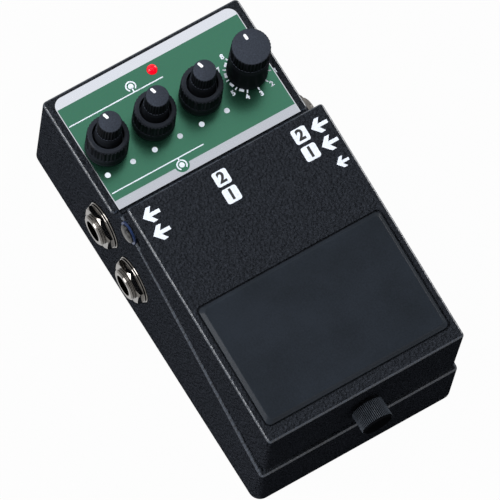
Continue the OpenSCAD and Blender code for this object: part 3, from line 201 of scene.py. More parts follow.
# Threads of the jack bushes: a fine thread rolled on the brass, which shows between the nut and the bush's
# end as a few bright rings. A ring round the plug bore stands for each turn.
def evaluated_mesh(holder, name):
    """A plain mesh object of what a modifier makes of an object, which is then removed."""
    graph = bpy.context.evaluated_depsgraph_get()
    made = bpy.data.meshes.new_from_object(holder.evaluated_get(graph))
    piece = bpy.data.objects.new(name, made)
    bpy.context.scene.collection.objects.link(piece)
    bpy.data.objects.remove(holder)
    return piece


def point_cloud(name, places):
    """An object with one loose vertex at each place."""
    mesh = bpy.data.meshes.new(name)
    mesh.from_pydata(places, [], [])
    holder = bpy.data.objects.new(name, mesh)
    bpy.context.scene.collection.objects.link(holder)
    return holder


def node_group(name, sizes):
    """A geometry tree with an input for each named size and one for the finish."""
    group = bpy.data.node_groups.new(name, "GeometryNodeTree")
    group.interface.new_socket("Geometry", in_out="INPUT", socket_type="NodeSocketGeometry")
    group.interface.new_socket("Geometry", in_out="OUTPUT", socket_type="NodeSocketGeometry")
    sockets = {}
    for label in sizes:
        socket = group.interface.new_socket(label, in_out="INPUT", socket_type="NodeSocketFloat")
        sockets[label] = socket.identifier
    finish = group.interface.new_socket("Finish", in_out="INPUT", socket_type="NodeSocketMaterial")
    sockets["Finish"] = finish.identifier
    return group, group.nodes.new("NodeGroupInput"), sockets


def end_group(group, ins, instances):
    """Ends a geometry tree: the instances become real faces and take the finish."""
    real = add(group, "GeometryNodeRealizeInstances", {}, {"Geometry": instances})
    finished = add(group, "GeometryNodeSetMaterial", {},
                   {"Geometry": real.outputs["Geometry"], "Material": ins.outputs["Finish"]})
    add(group, "NodeGroupOutput", {}, {"Geometry": finished.outputs["Geometry"]})


def grow(holder, group, sockets, values, name):
    """A plain mesh object of what a geometry tree makes of an object's points."""
    modifier = holder.modifiers.new(group.name, "NODES")
    modifier.node_group = group
    for label, value in values.items():
        modifier[sockets[label]] = value
    return evaluated_mesh(holder, name)


thread_turns = 3
thread_pitch = 0.36 * mm
thread_radius = 4.68 * mm
crest_radius = 0.1 * mm
thread_length = 1.15 * mm
first_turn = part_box("jack_bushes")[1].x - thread_length
thread_places = []
for bore in [mount for mount in frame["record"]["mounts"] if mount["kind"] == "bore"]:
    for turn in range(thread_turns):
        outward = bore["axis"][0] * (first_turn + turn * thread_pitch)
        thread_places.append((outward, bore["pos_m"][1], bore["pos_m"][2]))
group, ins, sockets = node_group("Thread rings", ["Ring radius", "Crest radius"])
circle = add(group, "GeometryNodeCurvePrimitiveCircle", {"Resolution": 64},
             {"Radius": ins.outputs["Ring radius"]})
crest = add(group, "GeometryNodeCurvePrimitiveCircle", {"Resolution": 8},
            {"Radius": ins.outputs["Crest radius"]})
tube = add(group, "GeometryNodeCurveToMesh", {},
           {"Curve": circle.outputs["Curve"], "Profile Curve": crest.outputs["Curve"]})
turned = add(group, "GeometryNodeTransform", {"Rotation": (0.0, math.pi / 2, 0.0)},
             {"Geometry": tube.outputs["Mesh"]})
rings = add(group, "GeometryNodeInstanceOnPoints", {},
            {"Points": ins.outputs["Geometry"], "Instance": turned.outputs["Geometry"]})
end_group(group, ins, rings.outputs["Instances"])
sizes = {"Ring radius": thread_radius, "Crest radius": crest_radius, "Finish": nickel}
threads = grow(point_cloud("thread_points", thread_places), group, sockets, sizes, "jack_threads")
threads.data.polygons.foreach_set("use_smooth", [True] * len(threads.data.polygons))
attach(threads, "chassis")


# Control plate: a sheet of anodised aluminium, screen printed with a green field between two bare silvery
# bands and let into a shallow recess of the housing. Its bare edge shows as a thin silver line, and its
# lacquer mirrors the knobs.
plate_low, plate_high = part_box("control_plate")
bare_edge = 0.25 * mm
front_band_share = 0.072
rear_band_share = 0.917
plate_finish, tree, shader, coordinates = new_finish(
    "Satin anodised aluminium with green screen ink", Metallic=0.95, Coat_Weight=0.55, Coat_Roughness=0.22)
axes = add(tree, "ShaderNodeSeparateXYZ", links={"Vector": coordinates})
depth = add(tree, "ShaderNodeMapRange", {"From Min": plate_low.y, "From Max": plate_high.y},
            {"Value": axes.outputs["Y"]})
fields = add(tree, "ShaderNodeValToRGB", links={"Fac": depth.outputs["Result"]},
             stops=[(0.0, "#bfc3cc"), (front_band_share, "#2f7158"), (rear_band_share, "#dfe3ec")])
fields.color_ramp.interpolation = "CONSTANT"
sideways = add(tree, "ShaderNodeMath", links={0: axes.outputs["X"]}, operation="ABSOLUTE")
edge = add(tree, "ShaderNodeMath", {1: plate_high.x - bare_edge}, {0: sideways.outputs["Value"]},
           operation="GREATER_THAN")
ink = add(tree, "ShaderNodeMix", {"B": linear("#d0d3db")},
          {"Factor": edge.outputs["Value"], "A": fields.outputs["Color"]}, data_type="RGBA")
mesh_grain = add(tree, "ShaderNodeTexNoise", {"Scale": 1 / (0.5 * mm), "Detail": 2.0},
                 {"Vector": coordinates})
even = add(tree, "ShaderNodeMix", {"Factor": 0.02},
           {"A": ink.outputs["Result"], "B": mesh_grain.outputs["Color"]}, data_type="RGBA")
tree.links.new(even.outputs["Result"], shader.inputs["Base Color"])
satin = add(tree, "ShaderNodeMapRange", {"To Min": 0.2, "To Max": 0.28},
            {"Value": mesh_grain.outputs["Fac"]})
tree.links.new(satin.outputs["Result"], shader.inputs["Roughness"])
paint(plate_finish, "control_plate")


# Print on the plate: opaque white screen ink, a hair's thickness proud. A dot stands at each end of every
# knob's sweep, and two ruled lines each carry a ring sign, for the inner and the outer knobs.
def middle(name):
    """The middle of a CAD node's box, in mm."""
    low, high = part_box(name)
    return (low + high) / 2 / mm


def skin(bm, loops):
    """Closes a solid over a row of loops of vertices, from its first end to its last."""
    for a, b in zip(loops, loops[1:]):
        for i in range(len(a)):
            k = (i + 1) % len(a)
            bm.faces.new((a[i], a[k], b[k], b[i]))
    bm.faces.new(loops[-1])
    bm.faces.new(loops[0][::-1])


def outline_solid(bm, outline, low, high, place=Matrix()):
    """Adds a flat-topped solid of an outline, a list of (x, y) in mm counted anticlockwise."""
    skin(bm, [[bm.verts.new(place @ Vector((x * mm, y * mm, z * mm))) for x, y in outline]
              for z in (low, high)])


def arc(x, y, radius, angles):
    """Points on a circle at angles in radians."""
    return [(x + radius * math.cos(a), y + radius * math.sin(a)) for a in angles]


def disc(x, y, radius, count=40):
    """A round outline."""
    return arc(x, y, radius, [2 * math.pi * i / count for i in range(count)])


def bar(x0, y0, x1, y1, width):
    """A straight stroke with square ends."""
    start = Vector((x0, y0))
    end = Vector((x1, y1))
    along = (end - start).normalized()
    across = Vector((-along.y, along.x)) * width / 2
    return [(p.x, p.y) for p in (start - across, end - across, end + across, start + across)]


def finish_piece(name, bm, material, body, smooth=False):
    """Makes a mesh object of a bmesh, gives it its finish and fixes it to a body."""
    bmesh.ops.recalc_face_normals(bm, faces=bm.faces)
    mesh = bpy.data.meshes.new(name)
    bm.to_mesh(mesh)
    bm.free()
    mesh.materials.append(material)
    mesh.polygons.foreach_set("use_smooth", [smooth] * len(mesh.polygons))
    piece = bpy.data.objects.new(name, mesh)
    bpy.context.scene.collection.objects.link(piece)
    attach(piece, body)
    return piece


# The ink is flat and faintly uneven where the screen left pinholes.
white_ink, tree, shader, coordinates = new_finish("Opaque white screen ink", Roughness=0.5,
                                                  Specular_IOR_Level=0.2)
mottle(tree, shader, coordinates, 0.6, [(0.25, "#d6deec"), (0.5, "#e9eff9")], Detail=3.0)
panel_top = plate_high.z / mm
ink_rise = 0.04
ink_root = 0.02
low = panel_top - ink_root
high = panel_top + ink_rise
sign_high = high + 0.02
dot_y = 32.85
dot_sideways = 4.16
dot_radius = 0.82
rule_width = 0.34
stem_width = 0.4
rules = [(-29.4, 1.5, 50.7), (-29.25, 0.9, 27.45)]
signs = [(-7.9, 52.7), (-7.64, 25.1)]
stem_starts = [-0.6, 1.4]
sign_dot = 0.8
ring_inner = 1.2
ring_outer = 1.62
ring_sweep = [math.radians(-54 + 288 * i / 48) for i in range(49)]
bm = bmesh.new()
for i in (1, 2, 3):
    knob_x = middle("outer_shaft_%d" % i).x
    for side in (-1, 1):
        outline_solid(bm, disc(knob_x + side * dot_sideways, dot_y, dot_radius), low, high)
for (left, right, rule_y), (x, y), stem_start in zip(rules, signs, stem_starts):
    outline_solid(bm, bar(left, rule_y, right, rule_y, rule_width), low, high)
    outline_solid(bm, disc(x, y, sign_dot), low, sign_high)
    ring = arc(x, y, ring_outer, ring_sweep) + arc(x, y, ring_inner, ring_sweep[::-1])
    outline_solid(bm, ring, low, sign_high)
    outline_solid(bm, bar(x, y + stem_start, x, rule_y, stem_width), low, sign_high)
finish_piece("plate_print", bm, white_ink, "chassis")


# Field of the lower sign: the green ink bulges into the front band behind it. It is the plate's own ink, a
# thin lacquered film that shines like the metal under it.
field_radius = 2.2
field_rise = 0.015
green_ink, tree, shader, coordinates = new_finish("Green screen ink", Metallic=0.95, Roughness=0.24,
                                                  Coat_Weight=0.55, Coat_Roughness=0.22)
mottle(tree, shader, coordinates, 0.5, [(0.3, "#2d6f56"), (0.7, "#31735a")], Detail=2.0)
bm = bmesh.new()
outline_solid(bm, disc(*signs[1], field_radius), low, panel_top + field_rise)
finish_piece("sign_field", bm, green_ink, "chassis")


# Selector dial: short radial ticks at eleven places 30 degrees apart, bold dashes between some of them, and
# plain numerals outside the first eight, all screened in the same white ink.
def numeral(bm, text, x, y, size, weight, low, high, place=Matrix()):
    """Adds a plain numeral, set upright about a point and thickened by a weight in mm."""
    curve = bpy.data.curves.new("numeral", "FONT")
    curve.body = text
    curve.size = size * mm
    curve.align_x = "CENTER"
    curve.align_y = "CENTER"
    curve.extrude = (high - low) / 2 * mm
    curve.offset = weight * mm
    holder = bpy.data.objects.new("numeral", curve)
    bpy.context.scene.collection.objects.link(holder)
    figure = evaluated_mesh(holder, "numeral")
    figure.data.transform(place @ Matrix.Translation((x * mm, y * mm, (low + high) / 2 * mm)))
    bm.from_mesh(figure.data)
    bpy.data.objects.remove(figure)


def dial_place(angle, radius):
    """A point on the dial, in mm, at an angle in degrees clockwise from the rear."""
    turn = math.radians(angle)
    return selector.x + radius * math.sin(turn), selector.y + radius * math.cos(turn)


def dial_marks(name, angles, radius, length, width):
    """A ring of straight marks round the selector, each turned to point at its middle."""
    places = [dial_place(a, radius) for a in angles]
    holder = point_cloud(name + "_points", [(x * mm, y * mm, (low + high) / 2 * mm) for x, y in places])
    turns = holder.data.attributes.new("turn", "FLOAT", "POINT")
    turns.data.foreach_set("value", [math.radians(-a) for a in angles])
    sizes = {"Tick length": length * mm, "Tick width": width * mm, "Ink height": (high - low) * mm}
    marks = grow(holder, group, sockets, {**sizes, "Finish": white_ink}, name)
    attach(marks, "chassis")


group, ins, sockets = node_group("Dial ticks", ["Tick length", "Tick width", "Ink height"])
size = add(group, "ShaderNodeCombineXYZ", {},
           {"X": ins.outputs["Tick width"], "Y": ins.outputs["Tick length"],
            "Z": ins.outputs["Ink height"]})
tick = add(group, "GeometryNodeMeshCube", {}, {"Size": size.outputs["Vector"]})
turn = add(group, "GeometryNodeInputNamedAttribute", {"Name": "turn"}, data_type="FLOAT")
spin = add(group, "ShaderNodeCombineXYZ", {}, {"Z": turn.outputs["Attribute"]})
ticks = add(group, "GeometryNodeInstanceOnPoints", {},
            {"Points": ins.outputs["Geometry"], "Instance": tick.outputs["Mesh"],
             "Rotation": spin.outputs["Vector"]})
end_group(group, ins, ticks.outputs["Instances"])
selector = middle("selector_shaft")
dial_angles = [120 + 30 * i for i in range(11)]
numeral_radius = 8.1
numeral_size = 2.1
numeral_weight = 0.09
dial_marks("dial_ticks", dial_angles, radius=6.2, length=1.4, width=0.42)
dial_marks("dial_dashes", [225, 255, 285, 315], radius=6.3, length=0.75, width=1.4)
bm = bmesh.new()
for number, angle in enumerate(dial_angles[:8], 1):
    numeral(bm, str(number), *dial_place(angle, numeral_radius), numeral_size, numeral_weight, low, high)
finish_piece("dial_numerals", bm, white_ink, "chassis")


# Lamp: a 3 mm light-emitting diode in clear red resin, pushed up through the panel. It is lit, so it glows
# a little of its own.
lamp_resin, tree, shader, coordinates = new_finish(
    "Lit red clear resin", Roughness=0.15, Specular_IOR_Level=0.25, Emission_Strength=0.75,
    Emission_Color=linear("#ff0820"))
mottle(tree, shader, coordinates, 1.2, [(0.3, "#d80018"), (0.7, "#f00826")])
paint(lamp_resin, "led_lens")


# Shafts: turned aluminium, the inner one running inside the outer tube. Only their ends would show with the
# knobs pulled off. The lathe's marks are drawn coarse, as bands about 2.5 mm apart, so that they can show.
def three(name):
    """The names of the three like nodes of the dual controls."""
    return ["%s_%d" % (name, i) for i in (1, 2, 3)]


turned_metal, tree, shader, coordinates = new_finish("Turned aluminium", Metallic=1.0, Roughness=0.3)
lathe_bands = add(tree, "ShaderNodeTexWave", {"Scale": 1 / (8 * mm), "Distortion": 0.4},
                  {"Vector": coordinates}, bands_direction="Z")
bright = add(tree, "ShaderNodeValToRGB", links={"Fac": lathe_bands.outputs["Fac"]},
             stops=[(0.0, "#b4b7ba"), (1.0, "#cdd0d2")])
tree.links.new(bright.outputs["Color"], shader.inputs["Base Color"])
paint(turned_metal, "selector_shaft", *three("outer_shaft"), *three("inner_shaft"))


# Knobs: moulded ABS, ring knobs round smaller ones and one tall selector, pressed on their shafts. Fine
# splines for grip run down their sides, and a white pointer is let into the tops of all but the rings.
def satin_abs(name, top, **values):
    """A knob's finish: a soft grey top, and sides painted near-black as painted shade, with painted
    highlights on their spline crests.
    """
    material, tree, shader, coordinates = new_finish(name, Specular_IOR_Level=0.0, Coat_Roughness=0.2,
                                                     **values)
    fine = add(tree, "ShaderNodeTexNoise", {"Scale": 1 / (0.35 * mm), "Detail": 3.0},
               {"Vector": coordinates})
    top_tone = add(tree, "ShaderNodeValToRGB", links={"Fac": fine.outputs["Fac"]}, stops=top)
    form = add(tree, "ShaderNodeNewGeometry")
    # Painted highlight on the spline crests and painted shade in the valleys between them, found by the
    # mesh's pointiness.
    painted_crest_highlight = add(tree, "ShaderNodeMapRange", {"From Min": 0.42, "From Max": 0.58},
                 {"Value": form.outputs["Pointiness"]})
    painted_side_shade = add(tree, "ShaderNodeMix", {"A": linear("#050506"), "B": linear("#23262b")},
                    {"Factor": painted_crest_highlight.outputs["Result"]}, data_type="RGBA")
    facing = add(tree, "ShaderNodeSeparateXYZ", links={"Vector": coordinates.node.outputs["Normal"]})
    # The sides are painted darker than the top as painted shade.
    upright = add(tree, "ShaderNodeMapRange", {"From Min": 0.75, "From Max": 0.35},
                  {"Value": facing.outputs["Z"]})
    tone = add(tree, "ShaderNodeMix", {},
               {"Factor": upright.outputs["Result"], "A": top_tone.outputs["Color"],
                "B": painted_side_shade.outputs["Result"]}, data_type="RGBA")
    tree.links.new(tone.outputs["Result"], shader.inputs["Base Color"])
    return material, tree, shader, fine.outputs["Fac"], upright.outputs["Result"]


# The inner and selector knobs are charcoal, with a trace of gloss on their sides only.
knob_abs, tree, shader, fine, upright = satin_abs(
    "Charcoal satin ABS", [(0.3, "#31353d"), (0.7, "#3e434d")], Roughness=0.5)
polish = add(tree, "ShaderNodeMath", {1: 0.05}, {0: upright}, operation="MULTIPLY")
tree.links.new(polish.outputs["Value"], shader.inputs["Coat Weight"])
relief = add(tree, "ShaderNodeBump", {"Strength": 0.15, "Distance": 0.02 * mm}, {"Height": fine})
tree.links.new(relief.outputs["Normal"], shader.inputs["Normal"])
paint(knob_abs, "selector_knob", *three("inner_knob"))

# The ring knobs are a darker black, evenly and faintly glossy.
ring_abs = satin_abs("Black satin ABS", [(0.3, "#26292f"), (0.7, "#30343b")], Roughness=0.45,
                     Coat_Weight=0.08)[0]
paint(ring_abs, *three("outer_knob"))

# The pointers are clean white, with the slight cloud of a moulded inlay.
pointer_inlay, tree, shader, coordinates = new_finish("White acetal inlay", Roughness=0.4)
mottle(tree, shader, coordinates, 0.5, [(0.3, "#eceef2"), (0.7, "#fbfcff")])
paint(pointer_inlay, "selector_pointer", *three("inner_pointer"))


# Battery: a 9 V block in a lacquered metal jacket, lying across the pedal in the pocket of the bay. Plain
# bands of grey, brass and tin run round the jacket.
battery_low, battery_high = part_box("battery")
jacket, tree, shader, coordinates = new_finish("Lacquered tinplate jacket", Metallic=0.6, Roughness=0.35)
axes = add(tree, "ShaderNodeSeparateXYZ", links={"Vector": coordinates})
along = add(tree, "ShaderNodeMapRange", {"From Min": battery_low.x, "From Max": battery_high.x},
            {"Value": axes.outputs["X"]})
bands = add(tree, "ShaderNodeValToRGB", links={"Fac": along.outputs["Result"]},
            stops=[(0.0, "#3b3f44"), (0.22, "#b8862f"), (0.3, "#3b3f44"), (0.92, "#c9ccce")])
bands.color_ramp.interpolation = "CONSTANT"
tree.links.new(bands.outputs["Color"], shader.inputs["Base Color"])
paint(jacket, "battery")


# Pivots: steel pins with domed heads hang the treadle between the horns of the chassis, in blue nylon bushes
# whose flanges show round the heads. The pins' nickel plating is worn dull, in light and dark patches.
dull_nickel, tree, shader, coordinates = new_finish("Worn nickel plating on steel", Metallic=1.0)
wear = mottle(tree, shader, coordinates, 1.1, [(0.35, "#1f2022"), (0.65, "#565655")], Detail=4.0)
scuffs = add(tree, "ShaderNodeMapRange", {"To Min": 0.2, "To Max": 0.45}, {"Value": wear})
tree.links.new(scuffs.outputs["Result"], shader.inputs["Roughness"])
paint(dull_nickel, "pivot_pins")

# Dyed nylon has a dull sheen and a slight haze.
dyed, tree, shader, coordinates = new_finish("Blue dyed nylon", Roughness=0.4)
mottle(tree, shader, coordinates, 2, [(0.3, "#182748"), (0.7, "#20335b")])
paint(dyed, "pivot_bushes")


# Natural nylon: the guide for the thumbscrew's tip, the spring's base and the switch plunger are moulded in
# the resin's own ivory, which lets a little light in.
ivory, tree, shader, coordinates = new_finish("Natural nylon", Roughness=0.45, Subsurface_Weight=0.1)
mottle(tree, shader, coordinates, 2, [(0.3, "#d9d5c6"), (0.7, "#e6e3d8")])
paint(ivory, "guide_bush", "spring_base", "switch_plunger")


# Coil spring: bright drawn music wire, wound to stand between the casting's seat and the nylon base under
# the treadle. It shortens as the treadle is pressed.
wire_steel, tree, shader, coordinates = new_finish("Bright drawn spring steel", Metallic=1.0,
                                                   Roughness=0.28)
mottle(tree, shader, coordinates, 0.9, [(0.3, "#8d9093"), (0.7, "#b3b6b8")], Detail=4.0)
seat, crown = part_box("coil_spring")
spring_x = (seat.x + crown.x) / 2
spring_y = (seat.y + crown.y) / 2
wire_radius = 0.55 * mm
coil_radius = 3.65 * mm
curls = 7
steps_per_curl = 24
steps = steps_per_curl * curls
wire_sides = 14
rise = crown.z - seat.z - 2 * wire_radius
slope = math.atan2(rise / curls, 2 * math.pi * coil_radius)
wire_angles = [2 * math.pi * k / wire_sides for k in range(wire_sides)]
bm = bmesh.new()
rings = []
for i in range(steps + 1):
    angle = 2 * math.pi * i / steps_per_curl
    outward = Vector((math.cos(angle), math.sin(angle), 0.0))
    forward = Vector((-math.sin(angle), math.cos(angle), 0.0))
    upward = Vector((0.0, 0.0, math.cos(slope))) - math.sin(slope) * forward
    centre = Vector((spring_x, spring_y, seat.z + wire_radius + rise * i / steps)) + outward * coil_radius
    rings.append([bm.verts.new(centre + wire_radius * (math.cos(a) * outward + math.sin(a) * upward))
                  for a in wire_angles])
skin(bm, rings)
spring = finish_piece("spring_wire", bm, wire_steel, "rocker", smooth=True)
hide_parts("coil_spring")
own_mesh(spring)


# Treadle pad: a moulded rubber mat with a bevelled border, glued into a shallow recess of the treadle so
# that a dark groove runs round it.
def rounded_loop(x0, y0, x1, y1, radius, steps=8):
    """An anticlockwise outline with rounded corners."""
    left, right, front, back = x0 + radius, x1 - radius, y0 + radius, y1 - radius
    points = []
    for x, y, start in ((right, back, 0), (left, back, 90), (left, front, 180), (right, front, 270)):
        points += arc(x, y, radius, [math.radians(start + 90 * i / steps) for i in range(steps + 1)])
    return points


# Moulded rubber is matt and softly mottled. Only its bevel has a shine.
pad_rubber, tree, shader, coordinates = new_finish("Moulded charcoal rubber", Roughness=0.55,
                                                   Specular_IOR_Level=0.03, Coat_Roughness=0.3)
dust = add(tree, "ShaderNodeTexNoise", {"Scale": 1 / (0.5 * mm), "Detail": 4.0, "Roughness": 0.6},
           {"Vector": coordinates})
broad = add(tree, "ShaderNodeTexNoise", {"Scale": 1 / (14 * mm), "Detail": 2.0}, {"Vector": coordinates})
both = add(tree, "ShaderNodeMath", links={0: dust.outputs["Fac"], 1: broad.outputs["Fac"]}, operation="ADD")
half = add(tree, "ShaderNodeMath", {1: 0.5}, {0: both.outputs["Value"]}, operation="MULTIPLY")
tone = add(tree, "ShaderNodeValToRGB", links={"Fac": half.outputs["Value"]},
           stops=[(0.35, "#1f2328"), (0.65, "#272c33")])
tree.links.new(tone.outputs["Color"], shader.inputs["Base Color"])
relief = add(tree, "ShaderNodeBump", {"Strength": 0.12, "Distance": 0.03 * mm},
             {"Height": dust.outputs["Fac"]})
tree.links.new(relief.outputs["Normal"], shader.inputs["Normal"])
facing = add(tree, "ShaderNodeSeparateXYZ", links={"Vector": coordinates.node.outputs["Normal"]})
bevelled = add(tree, "ShaderNodeValToRGB", links={"Fac": facing.outputs["Z"]},
               stops=[(0.45, "#000000"), (0.6, "#606060"), (0.9, "#606060"), (0.97, "#000000")])
tree.links.new(bevelled.outputs["Color"], shader.inputs["Coat Weight"])
treadle_slope = math.radians(5.3)
treadle_front = 61.0
treadle_front_top = 48.35
on_treadle = (Matrix.Translation((0, -treadle_front * mm, treadle_front_top * mm))
              @ Matrix.Rotation(treadle_slope, 4, "X"))
pad_w = 59.6
pad_d = 38.6
pad_in = 4.6
pad_sink = 0.9
pad_rise = 1.1
pad_bevel = 1.3
pad_corner = 1.6
lip_in = 0.25
lip_rise = 0.14
bevel_run = pad_bevel - 0.2 - lip_in
bevel_rise = pad_rise - 0.1 - lip_rise
# The border's profile from the floor of the recess up, as (inset, height) in mm.
border = [(0.0, -pad_sink), (0.0, -0.12), (0.08, 0.0), (lip_in, lip_rise)]
border += [(lip_in + bevel_run * t, lip_rise + bevel_rise * t) for t in (0.35, 0.7, 1.0)]
border += [(pad_bevel - 0.05, pad_rise - 0.03), (pad_bevel + 0.2, pad_rise)]
bm = bmesh.new()
loops = []
for inset, z in border:
    outline = rounded_loop(-pad_w / 2 + inset, pad_in + inset, pad_w / 2 - inset, pad_in + pad_d - inset,
                           pad_corner)
    loops.append([bm.verts.new(on_treadle @ Vector((x * mm, y * mm, z * mm))) for x, y in outline])
skin(bm, loops)
pad = finish_piece("pad_mat", bm, pad_rubber, "treadle", smooth=True)
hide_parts("treadle_pad")


# Print on the treadle: white ink arrows that show which way the signal runs at each jack, and rounded
# squares with plain numerals for the first and second channel.
def up_slope(y):
    """How far up the treadle's sloping top, in mm, a place y mm behind the pedal's middle is."""
    return (y + treadle_front) / math.cos(treadle_slope)


def arrow(tip_x, y, size):
    """An arrow to the left with a broad open head and a straight shaft."""
    half = [(0.0, 0.0), (2.2, -2.35), (3.7, -2.25), (2.46, -0.58), (5.47, -0.55)]
    whole = half + [(px, -py) for px, py in half[:0:-1]]
    return [(tip_x + px * size, up_slope(y + py * size)) for px, py in whole]


low = -ink_root
high = ink_rise
arrows = [(-29.6, 11.85, 1.0), (-29.6, 6.1, 1.0), (25.3, 11.3, 0.97), (25.3, 5.45, 0.97),
          (26.3, -1.0, 0.73)]
squares = [(-4.1, 11.4, "2"), (-4.05, 5.86, "1"), (21.8, 11.3, "2"), (21.8, 5.65, "1")]
square_half = 2.3
square_corner = 0.75
bm = bmesh.new()
for tip, y, size in arrows:
    outline_solid(bm, arrow(tip, y, size), low, high, on_treadle)
for x, y, _ in squares:
    y = up_slope(y)
    square = rounded_loop(x - square_half, y - square_half, x + square_half, y + square_half, square_corner)
    outline_solid(bm, square, low, high, on_treadle)
finish_piece("treadle_print", bm, white_ink, "treadle")

# The channel numerals are overprinted in black ink, flat and barely uneven.
black_ink, tree, shader, coordinates = new_finish("Black screen ink", Roughness=0.5)
mottle(tree, shader, coordinates, 0.6, [(0.3, "#101113"), (0.7, "#1c1d20")], Detail=2.0)
channel_size = 4.5
channel_weight = 0.18
over_low = high - 0.01
over_high = high + 0.02
bm = bmesh.new()
for x, y, text in squares:
    numeral(bm, text, x, up_slope(y), channel_size, channel_weight, over_low, over_high, on_treadle)
finish_piece("channel_numerals", bm, black_ink, "treadle")


# Thumbscrew: turned steel with a straight-knurled head, blackened, through the front of the treadle. The
# crests of its knurls are painted grey as a painted highlight, and the valleys between them painted black as
# painted shade.
blackened, tree, shader, coordinates = new_finish("Black oxide on knurled steel", Roughness=0.6,
                                                  Specular_IOR_Level=0.0, Coat_Roughness=0.3)
head_low, head_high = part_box("thumbscrew")
head_radius = (head_high.z - head_low.z) / 2
head_axis = (0.0, 0.0, (head_low.z + head_high.z) / 2)
# Painted highlight: a band this deep under the head's radius is painted grey, and what lies deeper is
# painted black as painted shade.
crest_highlight_depth = 0.175 * mm
crest_tone_noise = add(tree, "ShaderNodeTexNoise", {"Scale": 1 / (1.2 * mm), "Detail": 4.0}, {"Vector": coordinates})
painted_crest_highlight = add(tree, "ShaderNodeValToRGB", links={"Fac": crest_tone_noise.outputs["Fac"]},
             stops=[(0.35, "#3b4047"), (0.7, "#4d535c")])
centred = add(tree, "ShaderNodeVectorMath", {1: head_axis}, {0: coordinates}, operation="SUBTRACT")
across = add(tree, "ShaderNodeVectorMath", {1: (1, 0, 1)}, {0: centred.outputs["Vector"]},
             operation="MULTIPLY")
reach = add(tree, "ShaderNodeVectorMath", {}, {0: across.outputs["Vector"]}, operation="LENGTH")
crest_highlight_mask = add(tree, "ShaderNodeMapRange", {"From Min": head_radius - crest_highlight_depth, "From Max": head_radius},
           {"Value": reach.outputs["Value"]})
tone = add(tree, "ShaderNodeMix", {"A": linear("#0d0e10")},
           {"Factor": crest_highlight_mask.outputs["Result"], "B": painted_crest_highlight.outputs["Color"]}, data_type="RGBA")
tree.links.new(tone.outputs["Result"], shader.inputs["Base Color"])
sheen = add(tree, "ShaderNodeMath", {1: 0.15}, {0: crest_highlight_mask.outputs["Result"]}, operation="MULTIPLY")
tree.links.new(sheen.outputs["Value"], shader.inputs["Coat Weight"])
paint(blackened, "thumbscrew")


# Studio: the pedal stands on white paper in a plain grey room. Rays from the camera, and those that metal
# and glass send on, see plain white, and the paper keeps a faint shadow.
def seen_rays(tree):
    """A value of 1 for rays from the camera, from a mirror or through glass."""
    rays = add(tree, "ShaderNodeLightPath")
    direct = add(tree, "ShaderNodeMath", {},
                 {0: rays.outputs["Is Camera Ray"], 1: rays.outputs["Is Glossy Ray"]}, operation="MAXIMUM")
    seen = add(tree, "ShaderNodeMath", {},
               {0: direct.outputs["Value"], 1: rays.outputs["Is Transmission Ray"]}, operation="MAXIMUM")
    return seen.outputs["Value"]


far = 4
floor_mesh = bpy.data.meshes.new("studio_floor")
floor_mesh.from_pydata([(-far, -far, 0), (far, -far, 0), (far, far, 0), (-far, far, 0)], [], [(0, 1, 2, 3)])
floor = bpy.data.objects.new("studio_floor", floor_mesh)
bpy.context.scene.collection.objects.link(floor)
paper, tree, shader, coordinates = new_finish("White studio paper", Roughness=0.9,
                                              Base_Color=(0.25, 0.25, 0.26, 1))
share = add(tree, "ShaderNodeMath", {1: 0.975}, {0: seen_rays(tree)}, operation="MULTIPLY")
glow = add(tree, "ShaderNodeEmission", {"Strength": 1.0})
mixed = add(tree, "ShaderNodeMixShader", {},
            {0: share.outputs["Value"], 1: shader.outputs["BSDF"], 2: glow.outputs["Emission"]})
tree.links.new(mixed.outputs["Shader"], tree.nodes["Material Output"].inputs["Surface"])
floor_mesh.materials.append(paper)

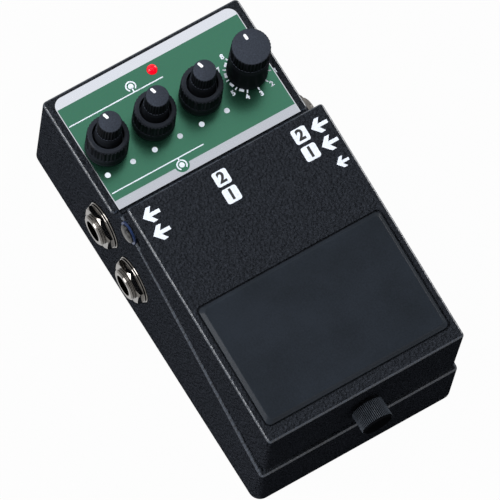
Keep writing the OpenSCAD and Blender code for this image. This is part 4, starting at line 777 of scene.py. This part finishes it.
world = bpy.data.worlds.new("Studio")
bpy.context.scene.world = world
world.use_nodes = True
tree = world.node_tree
background = tree.nodes["Background"]
direction = add(tree, "ShaderNodeTexCoord").outputs["Generated"]
climb = add(tree, "ShaderNodeSeparateXYZ", links={"Vector": direction})
room = add(tree, "ShaderNodeValToRGB", links={"Fac": climb.outputs["Z"]},
           stops=[(0.0, "#3d4045"), (0.35, "#5d6167")])
seen = seen_rays(tree)
sky = add(tree, "ShaderNodeMix", {"B": (1, 1, 1, 1)}, {"Factor": seen, "A": room.outputs["Color"]},
          data_type="RGBA")
tree.links.new(sky.outputs["Result"], background.inputs["Color"])
level = add(tree, "ShaderNodeMapRange", {"To Min": 0.55, "To Max": 1.0}, {"Value": seen})
tree.links.new(level.outputs["Result"], background.inputs["Strength"])


# Lamps: soft boxes high on the left and on the right, which reflections leave out, and low panels on the
# left, right and front that draw the bright lines along the rounded edges.
lit_place = Vector((0, 0, 0.03))


def soft_light(name, place, width, height, power, mirrored=True):
    """A soft box aimed at the pedal, seen or not in what reflects."""
    lamp = bpy.data.lights.new(name, "AREA")
    lamp.shape = "RECTANGLE"
    lamp.size = width
    lamp.size_y = height
    lamp.energy = power
    holder = bpy.data.objects.new(name, lamp)
    holder.location = place
    holder.rotation_euler = (lit_place - Vector(place)).to_track_quat("-Z", "Y").to_euler()
    holder.visible_glossy = mirrored
    bpy.context.scene.collection.objects.link(holder)


soft_light("main_box", (-0.4, 0.1, 1.33), 0.9, 0.9, 15.0, mirrored=False)
soft_light("right_box", (0.85, -0.35, 0.95), 0.4, 0.4, 2.0, mirrored=False)
soft_light("left_panel", (-1.15, 0.3, 0.45), 0.45, 0.8, 12.5)
soft_light("right_panel", (1.15, 0.33, 0.33), 0.45, 0.5, 7.0)
soft_light("front_panel", (0.28, -1.12, 0.4), 0.5, 0.4, 1.3)


# Camera: a long lens from above the left front corner, as in the photograph. Its place and turn were fitted
# to the pedal's corners there.
camera = bpy.data.cameras.new("Photograph view")
camera.sensor_width = 36.0
camera.lens = 579.31
camera.clip_end = 20.0
camera.dof.use_dof = False
viewer = bpy.data.objects.new("Photograph view", camera)
viewer.location = (-0.54411, -0.61171, 2.14858)
viewer.rotation_mode = "QUATERNION"
viewer.rotation_quaternion = Quaternion((0.948167, 0.163487, -0.081082, -0.260149))
bpy.context.scene.collection.objects.link(viewer)
bpy.context.scene.camera = viewer
bpy.context.scene.view_settings.view_transform = "Standard"
